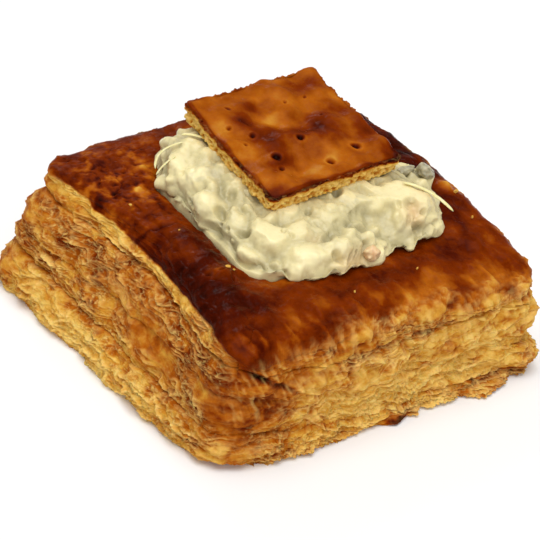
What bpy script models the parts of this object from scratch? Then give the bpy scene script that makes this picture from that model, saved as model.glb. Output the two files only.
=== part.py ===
"""Square vol au vent: a puff pastry case, the creamy filling heaped in its well, and its lid.

Metres, +Z up. The origin is the middle of the case's base. The front edge runs along +X, from
the front corner at (-X, -Y) to the right corner at (+X, -Y). The left wall faces -X.
Every shape is a grid rolled into a tube, whose rows are the rings of a loft from its foot to its
top, and whose two open ends are filled. A place round a ring is a share of the way from the
front corner: 0.25 is the right corner, 0.5 the back corner and 0.75 the left corner.
"""

import math

import bmesh
import bpy
from mathutils import Euler, Vector, noise

MM = 0.001
GAP = 0.3 * MM
WELD = 0.001 * MM
SHARP_ANGLE = math.radians(50)

# The case: a square of puff pastry that has risen unevenly
CASE_HALF, CASE_CORNER = 50 * MM, 6 * MM
COLUMNS = 104
EDGE_FRONT, EDGE_RIGHT, EDGE_BACK, EDGE_LEFT = 32 * MM, 27.5 * MM, 39.0 * MM, 36 * MM
RIGHT_SWELL, BACK_SWELL, FRONT_SWELL = 5.6 * MM, 2.6 * MM, 1.0 * MM
CRUST_DOME = 1.0 * MM
BASE_INSET, BASE_CORNER_INSET = 1.2 * MM, 3.6 * MM

# The walls lean: the left wall's foot spreads, and its top edge is drawn in
LEFT_SPREAD_FRONT, LEFT_SPREAD_BACK = 4.8 * MM, 10.0 * MM
LEFT_SPREAD_FROM, LEFT_SPREAD_TO = -48 * MM, 5 * MM
LEFT_DRAWN_IN, DRAWN_IN_AT, DRAWN_IN_REACH = 9.0 * MM, 2 * MM, 30 * MM
FRONT_SPREAD, BACK_SPREAD = 2.8 * MM, 2.5 * MM
LEAN_CURVE, FLARE_CURVE = 0.8, 3

# Slabs of layers. At places round the wall: the heights of the three grooves between the four
# slabs, the depths of the grooves, and how far each slab stands out, in mm
SLABS = (
    (0.00, (9.0, 20.0, 26.5), (1.0, 1.4, 1.6), (0.6, 0.0, 0.7, -0.3)),
    (0.05, (6.0, 15.0, 22.5), (0.7, 1.5, 1.0), (2.0, 0.2, 0.6, 0.0)),
    (0.10, (3.0, 11.5, 20.5), (0.7, 1.5, 1.0), (1.4, 0.0, 0.6, 0.0)),
    (0.20, (3.0, 11.5, 22.0), (0.9, 1.5, 1.2), (1.2, 0.0, 0.8, 0.2)),
    (0.25, (2.0, 8.2, 21.0), (1.6, 4.8, 0.8), (0.0, 3.8, 1.4, 0.4)),
    (0.32, (6.0, 12.5, 24.0), (1.6, 2.0, 1.4), (1.2, 0.2, 0.9, 0.0)),
    (0.50, (8.5, 17.0, 28.0), (2.4, 2.2, 2.4), (1.4, -0.2, 0.9, -0.3)),
    (0.72, (11.7, 17.0, 28.3), (2.0, 1.6, 2.6), (1.6, 0.4, 0.9, 0.0)),
    (0.75, (11.9, 17.0, 29.0), (3.2, 1.8, 4.6), (4.4, 2.4, 1.8, 0.4)),
    (0.78, (11.0, 17.0, 28.0), (2.2, 1.5, 2.4), (2.4, 0.4, 1.0, 0.0)),
    (0.86, (9.0, 17.0, 26.0), (1.4, 1.4, 1.8), (0.8, 0.0, 0.9, -0.3)),
    (0.95, (9.0, 19.0, 26.0), (1.0, 1.4, 1.6), (2.0, 0.4, 0.7, -0.3)),
    (1.00, (9.0, 20.0, 26.5), (1.0, 1.4, 1.6), (0.6, 0.0, 0.7, -0.3)),
)
TOP_SLAB = 3
SLAB_ROWS, TOP_SLAB_ROWS = (0.0, 0.2, 0.5, 0.8), (0.0, 0.3, 0.7)
SHOULDER_ROWS = (0.25, 0.6, 1.0)
SHOULDER_SOFT, SHOULDER_SHARP = 4.5 * MM, 2.2 * MM
CRUST_ROWS = (0.25, 0.5, 0.75, 1.0)

# The well cut through the crust
WELL_HALF, WELL_CORNER = 28 * MM, 9 * MM
WELL_SHIFT = Vector((-0.5 * MM, 1.2 * MM))
WELL_FLOOR = 12 * MM
WELL_ROWS = (0.0, 0.5, 1.0)
RIM_ROUND = 1.4 * MM

# The lid: the piece cut out of the well, baked flat, and tipped towards the front
LID_HALF, LID_CORNER = 21.4 * MM, 1.8 * MM
LID_THICKNESS = 4.4 * MM
LID_COLUMNS = 56
LID_TOP_CENTRE = (3.6 * MM, 7.2 * MM, 54.0 * MM)
LID_TURN = tuple(math.radians(angle) for angle in (11.5, -4.5, 0.7))
# Rings of the lid from its underside to its top: share of its half width, share of its height
LID_SECTION = (
    (0.30, 0.0), (0.70, 0.0), (0.95, 0.0), (0.985, 0.20), (0.96, 0.45), (0.99, 0.65),
    (1.0, 0.88), (0.975, 1.0), (0.85, 1.01), (0.65, 1.02), (0.40, 1.02), (0.18, 1.02),
)
# Docking holes, in mm from the lid's middle
DOCKING_HOLES = (
    (-11.8, 14.1), (-15.9, 7.2), (-11.5, 2.4), (-15.3, -0.1), (4.4, 10.3), (11.1, 10.3),
    (-0.8, -4.3), (-11.1, -7.9), (-12.1, -12.2), (2.1, -14.5), (12.2, -12.1), (10.8, 2.0),
)
DOCKING_TIP, DOCKING_MOUTH, DOCKING_DEPTH = 0.16 * MM, 1.44 * MM, 1.0 * MM
DOCKING_SIDES = 7

# The heap: how far it spreads past the well's rim, by place round it, reach and size
HEAP_CORNER = 10 * MM
HEAP_SPREAD = (
    (0.08, 0.05, 5.0 * MM), (0.15, 0.05, 2.6 * MM), (0.25, 0.05, 4.6 * MM),
    (0.325, 0.05, 8.0 * MM), (0.723, 0.045, 3.6 * MM), (0.84, 0.04, 1.6 * MM),
)
HEAP_LIFT = 0.9 * MM
HEAP_RINGS = (1.0, 0.985, 0.94, 0.87, 0.78, 0.67, 0.55, 0.42, 0.28, 0.14)
HEAP_FULLNESS, HEAP_SQUARENESS, HEAP_STEEPNESS = 1.18, 2.6, 0.6
LUMPS_FADE = 0.35
OVERHANG = 0.8
# Coated chunks that stand out of the heap: x, y, radius and height in mm
CHUNKS = (
    (26, -21, 8, 2.8), (36, -12, 4.5, 3.6), (-21, 22, 6, 2.5), (-23, 2, 4.5, 1.8),
    (-12, -26, 6, 2.0), (3, -30, 4.5, 2.2), (12, -24, 4.5, -1.2), (-24, -14, 4, 1.0),
)
# Shreds of cheese, each by its start, middle and end: the place round the heap, the size of the
# heap's ring there, and the height above the heap in mm
SHREDS = (
    ((0.300, 0.72, 0.5), (0.294, 0.90, 0.5), (0.288, 1.03, 1.0)),
    ((0.700, 0.88, 0.4), (0.694, 0.98, 0.6), (0.686, 1.08, 1.0)),
    ((0.770, 0.92, 0.3), (0.726, 1.05, 0.7), (0.692, 0.95, 0.4)),
    ((0.746, 0.90, 0.3), (0.762, 1.00, 0.5), (0.777, 1.10, 0.4)),
)
SHRED_RADIUS = 0.75 * MM

# Relief: the size of its bumps, their depth, and the seed of its noise
CRAGS = (11 * MM, 1.1 * MM, 2)
FLAKES = (5 * MM, 0.8 * MM, 3)
FLAKE_FLATNESS = 2
CRUST_BLISTERS = (9 * MM, 0.6 * MM, 5)
WELL_WAVER = (12 * MM, 0.5 * MM, 8)
HEAP_EDGE = (7 * MM, 0.9 * MM, 11)
HEAP_LUMPS = (9 * MM, 1.7 * MM, 13)
LID_EDGE = (9 * MM, 0.5 * MM, 17)
LID_SWELL = (12 * MM, 0.8 * MM, 19)
SEED_STEP = Vector((7.3, 3.1, 5.7))


def clear_scene():
    """Remove whatever the scene holds at the start."""
    for old in list(bpy.data.objects):
        bpy.data.objects.remove(old, do_unlink=True)


def baked_material(name, colour, roughness):
    """A Principled material of one colour."""
    material = bpy.data.materials.new(name)
    material.use_nodes = True
    shader = material.node_tree.nodes["Principled BSDF"]
    shader.inputs["Base Color"].default_value = (*colour, 1.0)
    shader.inputs["Roughness"].default_value = roughness
    shader.inputs["Metallic"].default_value = 0.0
    return material


def blend(start, end, share):
    """The value this share of the way from start to end."""
    return start + (end - start) * share


def ease(low, high, value):
    """0 below low, 1 above high, and a smooth step between them."""
    share = min(1.0, max(0.0, (value - low) / (high - low)))
    return share * share * (3 - 2 * share)


def bell(value, width):
    """A bump of height 1 at 0."""
    return math.exp(-((value / width) ** 2))


def relief(point, field):
    """How far a field of relief lifts the surface at a point."""
    size, depth, seed = field
    return depth * noise.noise(Vector(point) / size + seed * SEED_STEP)


def rounded_square(share, half, radius):
    """(point, outward normal) this share of the way round a square, from its front corner."""
    side, along = divmod(share % 1.0 * 4, 1.0)
    edge = Vector((half * (2 * along - 1), -half))
    inner = Vector([max(radius - half, min(half - radius, value)) for value in edge])
    normal = (edge - inner).normalized()
    point = inner + normal * radius
    turn = math.radians(90 * side)
    spin = Vector((math.cos(turn), math.sin(turn)))
    return tuple(
        Vector((v.x * spin.x - v.y * spin.y, v.x * spin.y + v.y * spin.x)) for v in (point, normal)
    )


def crust_height(x, y):
    """Height of the crust over a point of the plan: lowest at the right corner."""
    u = max(-1.0, min(1.0, x / CASE_HALF))
    v = max(-1.0, min(1.0, y / CASE_HALF))
    front = blend(EDGE_FRONT, EDGE_RIGHT, (u + 1) / 2) + FRONT_SWELL * (1 - u * u)
    back = blend(EDGE_LEFT, EDGE_BACK, (u + 1) / 2) + BACK_SWELL * (1 - u * u)
    return blend(front, back, (v + 1) / 2) + RIGHT_SWELL * max(0.0, u) * (1 - v * v)


def lean(point, normal, level):
    """How far the wall stands outside the plain square at this share of its height."""
    left, back, front = max(0.0, -normal.x), max(0.0, normal.y), max(0.0, -normal.y)
    along = ease(LEFT_SPREAD_FROM, LEFT_SPREAD_TO, point.y)
    spread = left * blend(LEFT_SPREAD_FRONT, LEFT_SPREAD_BACK, along) + back * BACK_SPREAD
    flare = front * FRONT_SPREAD * (1 - level) ** FLARE_CURVE
    drawn = left * LEFT_DRAWN_IN * bell(point.y - DRAWN_IN_AT, DRAWN_IN_REACH)
    return spread * (1 - level) ** LEAN_CURVE + flare - drawn * level


def slabs_at(share):
    """(groove heights, groove depths, slab stands), this share of the way round."""
    share %= 1.0
    index = max(i for i, row in enumerate(SLABS[:-1]) if row[0] <= share)
    (start, *before), (end, *after) = SLABS[index], SLABS[index + 1]
    step = ease(start, end, share)
    return tuple(
        tuple(blend(a, b, step) * MM for a, b in zip(old, new))
        for old, new in zip(before, after)
    )


def shoulder_size(normal):
    """Radius where the wall turns over into the crust: tight on the left, soft elsewhere."""
    return blend(SHOULDER_SOFT, SHOULDER_SHARP, max(0.0, -normal.x))


def wall_point(share, slab, rise):
    """A point of the case's outer wall, this share of the way up a slab."""
    point, normal = rounded_square(share, CASE_HALF, CASE_CORNER)
    top = crust_height(point.x, point.y) - shoulder_size(normal)
    heights, depths, stands = slabs_at(share)
    ends = (0.0, *heights, top)
    height = blend(ends[slab], ends[slab + 1], rise)
    face = math.sin(math.pi * (min(rise, 0.5) if slab == TOP_SLAB else rise))
    groove = depths[slab if rise > 0.5 and slab < TOP_SLAB else max(slab - 1, 0)]
    crag = relief((point.x, point.y, height), CRAGS)
    flake = relief((point.x, point.y, FLAKE_FLATNESS * height), FLAKES)
    stand = stands[slab] - groove * (1 - face)
    out = lean(point, normal, height / top) + stand + crag + flake
    if height == 0.0:
        out -= BASE_INSET + BASE_CORNER_INSET * 2 * abs(normal.x * normal.y)
    plan = point + normal * out
    return Vector((plan.x, plan.y, height))


def shoulder_point(share, turn):
    """A point where the wall rounds over into the crust, from 0 at the wall to 1 on the crust."""
    normal = rounded_square(share, CASE_HALF, CASE_CORNER)[1]
    wall = wall_point(share, TOP_SLAB, 1.0)
    size = shoulder_size(normal)
    angle = turn * math.pi / 2
    plan = wall.xy - normal * size * (1 - math.cos(angle))
    return Vector((plan.x, plan.y, wall.z + size * math.sin(angle)))


def well_point(share, sunk, outside=0.0):
    """A point of the well, from 0 at its rim to 1 at its floor, moved out by outside."""
    point, normal = rounded_square(share, WELL_HALF, WELL_CORNER)
    wall = WELL_SHIFT + normal * relief((point.x, point.y, 0.0), WELL_WAVER)
    plan = point + normal * outside + wall
    rim = crust_height(point.x, point.y) - RIM_ROUND
    return Vector((plan.x, plan.y, blend(rim, WELL_FLOOR, sunk)))


def crust_point(share, inward):
    """A point on the crust, from 0 at the shoulder to 1 at the well's rim."""
    outer = shoulder_point(share, 1.0)
    rim = well_point(share, 0.0, RIM_ROUND)
    plan = blend(outer.xy, rim.xy, inward)
    height = blend(outer.z, crust_height(rim.x, rim.y), inward)
    dome = CRUST_DOME + relief((plan.x, plan.y, 0.0), CRUST_BLISTERS)
    return Vector((plan.x, plan.y, height + dome * math.sin(math.pi * inward)))


def tube(name, rings, material, collection):
    """A closed object: a grid whose rows are wrapped onto the rings, with its two ends filled."""
    columns, rows = len(rings[0]), len(rings)
    mesh = bpy.data.meshes.new(name)
    body = bmesh.new()
    bmesh.ops.create_grid(body, x_segments=columns, y_segments=rows - 1, size=1.0)
    for vertex in body.verts:
        column = round((vertex.co.x + 1) / 2 * columns) % columns
        row = round((vertex.co.y + 1) / 2 * (rows - 1))
        vertex.co = rings[row][column]
    bmesh.ops.remove_doubles(body, verts=body.verts, dist=WELD)
    open_ends = [edge for edge in body.edges if edge.is_boundary]
    bmesh.ops.holes_fill(body, edges=open_ends, sides=columns)
    bmesh.ops.recalc_face_normals(body, faces=body.faces)
    body.to_mesh(mesh)
    body.free()
    mesh.shade_smooth()
    mesh.set_sharp_from_angle(angle=SHARP_ANGLE)
    mesh.materials.append(material)
    piece = bpy.data.objects.new(name, mesh)
    collection.objects.link(piece)
    return piece


def ring(columns, point_at, *row):
    """The points of one ring, from a function of the share round it and of the row's values."""
    return [point_at(column / columns, *row) for column in range(columns)]


def build_case(collection):
    """The case: base, four slabs of layers, crust and well, in one loft."""
    rings = []
    for slab in range(TOP_SLAB + 1):
        rows = TOP_SLAB_ROWS if slab == TOP_SLAB else SLAB_ROWS
        rings += [ring(COLUMNS, wall_point, slab, rise) for rise in rows]
    rings += [ring(COLUMNS, shoulder_point, turn) for turn in SHOULDER_ROWS]
    rings += [ring(COLUMNS, crust_point, inward) for inward in CRUST_ROWS]
    rings += [ring(COLUMNS, well_point, sunk) for sunk in WELL_ROWS]
    crust = baked_material("golden_crust", (0.50, 0.22, 0.06), 0.5)
    return tube("pastry_case", rings, crust, collection)


def lid_underside(x, y):
    """Height of the plane of the lid's underside over a point of the plan."""
    up = Euler(LID_TURN).to_matrix() @ Vector((0.0, 0.0, 1.0))
    below = Vector(LID_TOP_CENTRE) - up * LID_THICKNESS
    return below.z - (up.x * (x - below.x) + up.y * (y - below.y)) / up.z


def heap_outline(share):
    """Plan of the heap's widest ring, above the well's rim."""
    point, normal = rounded_square(share, WELL_HALF, HEAP_CORNER)
    spread = sum(
        size * bell((share - place + 0.5) % 1.0 - 0.5, reach) for place, reach, size in HEAP_SPREAD
    )
    return point + normal * (spread + relief((point.x, point.y, 0.0), HEAP_EDGE))


def chunk_rise(x, y):
    """How much the coated chunks lift the heap here."""
    return sum(
        MM * rise * bell(math.hypot(x / MM - chunk_x, y / MM - chunk_y), radius)
        for chunk_x, chunk_y, radius, rise in CHUNKS
    )


def heap_point(share, size):
    """A point of the heap's top, size 1 at its outline and 0 at its middle."""
    outline = heap_outline(share)
    plan = outline * size
    foot = crust_height(outline.x, outline.y) + CRUST_DOME + HEAP_LIFT
    crest = lid_underside(plan.x, plan.y)
    slope = max(0.0, 1 - size**HEAP_SQUARENESS) ** HEAP_STEEPNESS
    full = min(1.0, HEAP_FULLNESS * slope)
    lumps = relief((plan.x, plan.y, size * WELL_HALF), HEAP_LUMPS) + chunk_rise(plan.x, plan.y)
    height = blend(foot, crest, full) + lumps * ease(0.0, LUMPS_FADE, full)
    return Vector((plan.x, plan.y, min(height, crest - GAP)))


def plug_point(share, sunk):
    """A point of the filling inside the well, clear of its wall and floor."""
    return well_point(share, sunk, -GAP) + Vector((0.0, 0.0, GAP * sunk))


def overhang_point(share, outward):
    """A point of the heap's underside, from 0 just above the well's rim towards its outline."""
    neck, edge = plug_point(share, 0.0), heap_point(share, 1.0)
    plan = blend(neck.xy, edge.xy, outward)
    over_crust = crust_height(plan.x, plan.y) + CRUST_DOME + HEAP_LIFT / 2
    return Vector((plan.x, plan.y, blend(neck.z + RIM_ROUND + GAP, over_crust, outward)))


def build_filling(collection):
    """The filling: a plug down to the well's floor, and the heap above the rim."""
    rings = [ring(COLUMNS, plug_point, sunk) for sunk in reversed(WELL_ROWS)]
    rings += [ring(COLUMNS, overhang_point, outward) for outward in (0.0, OVERHANG)]
    rings += [ring(COLUMNS, heap_point, size) for size in HEAP_RINGS]
    cream = baked_material("cream_filling", (0.74, 0.68, 0.42), 0.35)
    return tube("filling", rings, cream, collection)


def mesh_of(curve_object, collection):
    """A curve object's evaluated mesh, welded, as a new object in the collection."""
    graph = bpy.context.evaluated_depsgraph_get()
    mesh = bpy.data.meshes.new_from_object(curve_object.evaluated_get(graph))
    body = bmesh.new()
    body.from_mesh(mesh)
    bmesh.ops.remove_doubles(body, verts=body.verts, dist=WELD)
    bmesh.ops.recalc_face_normals(body, faces=body.faces)
    body.to_mesh(mesh)
    body.free()
    piece = bpy.data.objects.new(curve_object.name, mesh)
    piece.matrix_world = curve_object.matrix_world
    collection.objects.link(piece)
    bpy.data.objects.remove(curve_object, do_unlink=True)
    return piece


def build_shred(index, knots, collection):
    """One shred of cheese: a thin strand through its start, middle and end."""
    curve = bpy.data.curves.new(f"shred_{index}", "CURVE")
    curve.dimensions = "3D"
    curve.bevel_depth = SHRED_RADIUS
    curve.bevel_resolution = 1
    curve.use_fill_caps = True
    curve.resolution_u = 4
    spline = curve.splines.new("BEZIER")
    spline.bezier_points.add(len(knots) - 1)
    for point, (share, size, lift) in zip(spline.bezier_points, knots):
        point.co = heap_point(share, size) + Vector((0.0, 0.0, lift * MM))
        point.handle_left_type = point.handle_right_type = "AUTO"
    strand = bpy.data.objects.new(curve.name, curve)
    collection.objects.link(strand)
    bpy.context.view_layer.update()
    return mesh_of(strand, collection)


def fuse(piece, extras):
    """Join the collection's objects to the piece with one union, apply it, and remove them."""
    union = piece.modifiers.new("fuse", "BOOLEAN")
    union.operation = "UNION"
    union.operand_type = "COLLECTION"
    union.collection = extras
    union.solver = "MANIFOLD"
    graph = bpy.context.evaluated_depsgraph_get()
    mesh = bpy.data.meshes.new_from_object(piece.evaluated_get(graph))
    piece.modifiers.clear()
    piece.data = mesh
    for extra in list(extras.objects):
        bpy.data.objects.remove(extra, do_unlink=True)
    bpy.data.collections.remove(extras)


def plate_point(share, size, level):
    """A point of the lid, in its own frame, whose origin is the middle of its top."""
    point, normal = rounded_square(share, LID_HALF, LID_CORNER)
    plan = (point + normal * relief((point.x, point.y, 0.0), LID_EDGE)) * size
    swell = relief((plan.x, plan.y, 0.0), LID_SWELL) * level
    return Vector((plan.x, plan.y, LID_THICKNESS * (level - 1) + swell))


def docking_cone(index, x, y, lid, cutters):
    """The cutter of one docking hole, placed on the lid."""
    bpy.ops.mesh.primitive_cone_add(
        vertices=DOCKING_SIDES, radius1=DOCKING_TIP, radius2=DOCKING_MOUTH,
        depth=2 * DOCKING_DEPTH, location=(x * MM, y * MM, 0.0),
    )
    cone = bpy.context.object
    cone.name = f"docking_{index}"
    for other in cone.users_collection:
        other.objects.unlink(cone)
    cutters.objects.link(cone)
    cone.parent = lid
    cone.hide_render = True
    cone.display_type = "WIRE"


def build_lid(collection, cutters):
    """The lid: a wavy square plate with docking holes, tipped on the heap."""
    rings = [ring(LID_COLUMNS, plate_point, size, level) for size, level in LID_SECTION]
    lid = tube("lid", rings, baked_material("glazed_lid", (0.52, 0.19, 0.04), 0.35), collection)
    lid.rotation_euler = LID_TURN
    lid.location = LID_TOP_CENTRE
    for index, (x, y) in enumerate(DOCKING_HOLES):
        docking_cone(index, x, y, lid, cutters)
    cut = lid.modifiers.new("docking", "BOOLEAN")
    cut.operation = "DIFFERENCE"
    cut.operand_type = "COLLECTION"
    cut.collection = cutters
    cut.solver = "EXACT"
    return lid


def main():
    """Build the case, its filling and its lid."""
    clear_scene()
    scene = bpy.context.scene
    parts = bpy.data.collections.new("vol_au_vent")
    cutters = bpy.data.collections.new("cutters")
    shreds = bpy.data.collections.new("shreds")
    for collection in (parts, cutters, shreds):
        scene.collection.children.link(collection)
    build_case(parts)
    filling = build_filling(parts)
    for index, knots in enumerate(SHREDS):
        build_shred(index, knots, shreds)
    fuse(filling, shreds)
    build_lid(parts, cutters)


main()
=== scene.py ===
"""The looks of a square vol au vent: flaky slabs, glazed crust, creamy filling and lid.

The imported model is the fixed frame. Lengths here are millimetres in that frame, and a mesh
becomes metres when it is made. A place round the case is a share of the way from the front
corner: 0.25 is the right corner, 0.5 the back corner and 0.75 the left corner.
"""

import itertools
import logging
import math
from dataclasses import dataclass, field, replace
from enum import Enum

import bpy
import numpy as np
from mathutils import Euler, Matrix, Vector, noise


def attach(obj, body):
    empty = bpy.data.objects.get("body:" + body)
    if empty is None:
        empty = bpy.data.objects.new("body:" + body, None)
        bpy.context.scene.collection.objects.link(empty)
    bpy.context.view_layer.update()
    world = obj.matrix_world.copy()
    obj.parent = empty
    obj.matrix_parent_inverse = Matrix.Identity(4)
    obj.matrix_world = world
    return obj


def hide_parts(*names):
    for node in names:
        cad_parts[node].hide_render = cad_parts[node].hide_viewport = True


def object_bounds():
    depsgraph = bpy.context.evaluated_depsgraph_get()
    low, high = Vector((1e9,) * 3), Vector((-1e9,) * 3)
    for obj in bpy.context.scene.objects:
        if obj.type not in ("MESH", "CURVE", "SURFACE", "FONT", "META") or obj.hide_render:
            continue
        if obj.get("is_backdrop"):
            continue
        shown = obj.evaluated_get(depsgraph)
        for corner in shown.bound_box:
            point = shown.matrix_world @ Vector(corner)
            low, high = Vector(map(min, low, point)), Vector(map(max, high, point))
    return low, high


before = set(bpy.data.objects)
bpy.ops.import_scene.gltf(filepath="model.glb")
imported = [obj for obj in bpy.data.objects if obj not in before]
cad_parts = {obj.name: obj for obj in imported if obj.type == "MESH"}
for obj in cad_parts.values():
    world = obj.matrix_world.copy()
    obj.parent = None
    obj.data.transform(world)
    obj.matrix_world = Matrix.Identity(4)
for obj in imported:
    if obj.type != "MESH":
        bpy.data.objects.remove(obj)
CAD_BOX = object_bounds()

Array = np.ndarray
Colour = tuple[int, int, int]
Triple = tuple[float, float, float]
Socket = bpy.types.NodeSocket
Piece = bpy.types.Object
LOG = logging.getLogger("vol_au_vent")
MM = 0.001
WELD = 0.0005 * MM
SEED_STEP = np.array((7.3, 3.1, 5.7))
NOISE_GAIN = 1.6
CELL_KEYS = (73856093, 19349663, 83492791)
SEED_KEY = 7919
MIX_KEYS = (1274126177, 2246822519)
WORD = 0xFFFFFFFF
NOISE_EDGES = np.array(
    [edge for edge in itertools.product((-1, 0, 1), repeat=3) if sum(map(abs, edge)) == 2], float
)


def blend(start: float | Array, end: float | Array, share: float | Array) -> Array:
    """The value this share of the way from start to end."""
    return start + (end - start) * share


def ease(low: float, high: float, value: float | Array) -> Array:
    """0 below low, 1 above high, and a smooth step between them."""
    share = np.clip((value - low) / (high - low), 0.0, 1.0)
    return share * share * (3 - 2 * share)


def bell(value: float | Array, width: float) -> Array:
    """A bump of height 1 at 0."""
    return np.exp(-((value / width) ** 2))


def stack(*columns: Array) -> Array:
    """The columns as the last axis of one array."""
    return np.stack(np.broadcast_arrays(*columns), -1)


@dataclass(frozen=True)
class Swell:
    """The coarse relief that the solids have too."""

    size: float
    depth: float
    seed: int

    def at(self, x: Array, y: Array, z: Array) -> Array:
        """How far the relief lifts the surface at these points."""
        places = stack(x, y, z) / self.size + self.seed * SEED_STEP
        values = [noise.noise(place) for place in places.reshape(-1, 3).tolist()]
        return self.depth * np.reshape(values, places.shape[:-1])


@dataclass(frozen=True)
class Grain:
    """Smooth noise from about -depth to depth, with the size of its bumps along x, y and z."""

    size: Triple
    seed: int
    octaves: int = 1
    depth: float = 1.0

    def at(self, x: Array, y: Array, z: Array) -> Array:
        """The noise at these points."""
        places = (stack(x, y, z) / np.array(self.size)).reshape(-1, 3)
        total = np.zeros(len(places))
        for octave in range(self.octaves):
            total += self._layer(places * 2**octave, self.seed + octave) / 2**octave
        return total.reshape(np.broadcast(x, y, z).shape) * (NOISE_GAIN * self.depth)

    def ridges(self, x: Array, y: Array, z: Array, width: float) -> Array:
        """Crests of height 1 along a web of lines, this wide in the noise's own units."""
        return bell(self.at(x, y, z), width)

    def _layer(self, places: Array, seed: int) -> Array:
        """One octave of gradient noise on a unit lattice."""
        cell = np.floor(places).astype(np.int64)
        inside = places - cell
        fade = inside**3 * (inside * (inside * 6 - 15) + 10)
        total = np.zeros(len(places))
        for corner in itertools.product((0, 1), repeat=3):
            key = cell + corner
            keyed = key * np.array(CELL_KEYS)
            code = keyed[:, 0] ^ keyed[:, 1] ^ keyed[:, 2]
            code = ((code + seed * SEED_KEY) & WORD) * MIX_KEYS[0] & WORD
            code = (code ^ (code >> 15)) * MIX_KEYS[1] & WORD
            slope = NOISE_EDGES[(code >> 9) % len(NOISE_EDGES)]
            weight = np.prod(np.where(corner, fade, 1 - fade), axis=1)
            total += weight * ((inside - corner) * slope).sum(1)
        return total


@dataclass(frozen=True)
class Spot:
    """A soft-edged place on a surface that differs from what is round it."""

    along: float
    across: float
    reach: tuple[float, float]
    amount: float
    turn: float = 0.0

    def at(self, along: Array, across: Array) -> Array:
        """How much of the difference there is at these places."""
        cos, sin = math.cos(math.radians(self.turn)), math.sin(math.radians(self.turn))
        u, v = along - self.along, across - self.across
        return self.amount * bell(u * cos + v * sin, self.reach[0]) * bell(
            v * cos - u * sin, self.reach[1]
        )


def all_spots(spots: tuple[Spot, ...], along: Array, across: Array) -> Array:
    """The sum of the spots at these places."""
    return sum(spot.at(along, across) for spot in spots)


class Ends(Enum):
    """What becomes of the first and the last ring of a loft."""

    CAPPED = "filled"
    JOINED = "joined to each other"


@dataclass
class Loft:
    """A closed mesh: a grid whose rows are wrapped onto rings.

    Args:
        name: the piece's name.
        rings: points in mm, as rows, columns and x, y, z.
        ends: what becomes of the first and the last ring.
        fields: a number for every point, by the name of the attribute that holds it.
    """

    name: str
    rings: Array
    ends: Ends
    fields: dict[str, Array] = field(default_factory=dict)

    def build(self) -> Piece:
        """Make the mesh object, at the origin, with its faces outwards."""
        rows, columns = self.rings.shape[:2]
        spans = rows if self.ends is Ends.JOINED else rows - 1
        bpy.ops.object.select_all(action="DESELECT")
        bpy.ops.mesh.primitive_grid_add(x_subdivisions=columns, y_subdivisions=spans, size=2.0)
        piece = bpy.context.object
        piece.name = piece.data.name = self.name
        mesh = piece.data
        flat = np.empty(len(mesh.vertices) * 3, np.float32)
        mesh.vertices.foreach_get("co", flat)
        place = (flat.reshape(-1, 3) + 1) / 2
        column = np.rint(place[:, 0] * columns).astype(int) % columns
        row = np.rint(place[:, 1] * spans).astype(int) % rows
        points = self.rings[row, column] * MM
        mesh.vertices.foreach_set("co", points.astype(np.float32).ravel())
        for name, values in self.fields.items():
            attribute = mesh.attributes.new(name, "FLOAT", "POINT")
            attribute.data.foreach_set("value", values[row, column].astype(np.float32))
        close_up(piece)
        return piece


def close_up(piece: Piece) -> None:
    """Weld a piece's seams, fill its open ends and turn its faces outwards."""
    bpy.ops.object.select_all(action="DESELECT")
    piece.select_set(True)
    bpy.context.view_layer.objects.active = piece
    bpy.ops.object.mode_set(mode="EDIT")
    bpy.ops.mesh.select_all(action="SELECT")
    bpy.ops.mesh.remove_doubles(threshold=WELD)
    bpy.ops.mesh.fill_holes(sides=0)
    bpy.ops.mesh.select_all(action="SELECT")
    bpy.ops.mesh.normals_make_consistent(inside=False)
    bpy.ops.object.mode_set(mode="OBJECT")
    bpy.ops.object.shade_smooth()


def surface_normals(rings: Array) -> Array:
    """Outward unit normals of a grid of rings that climb from foot to top."""
    round_it = np.roll(rings, -1, 1) - np.roll(rings, 1, 1)
    up_it = np.gradient(rings, axis=0)
    normals = np.cross(round_it, up_it)
    return normals / np.maximum(np.linalg.norm(normals, axis=-1, keepdims=True), 1e-9)


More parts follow.
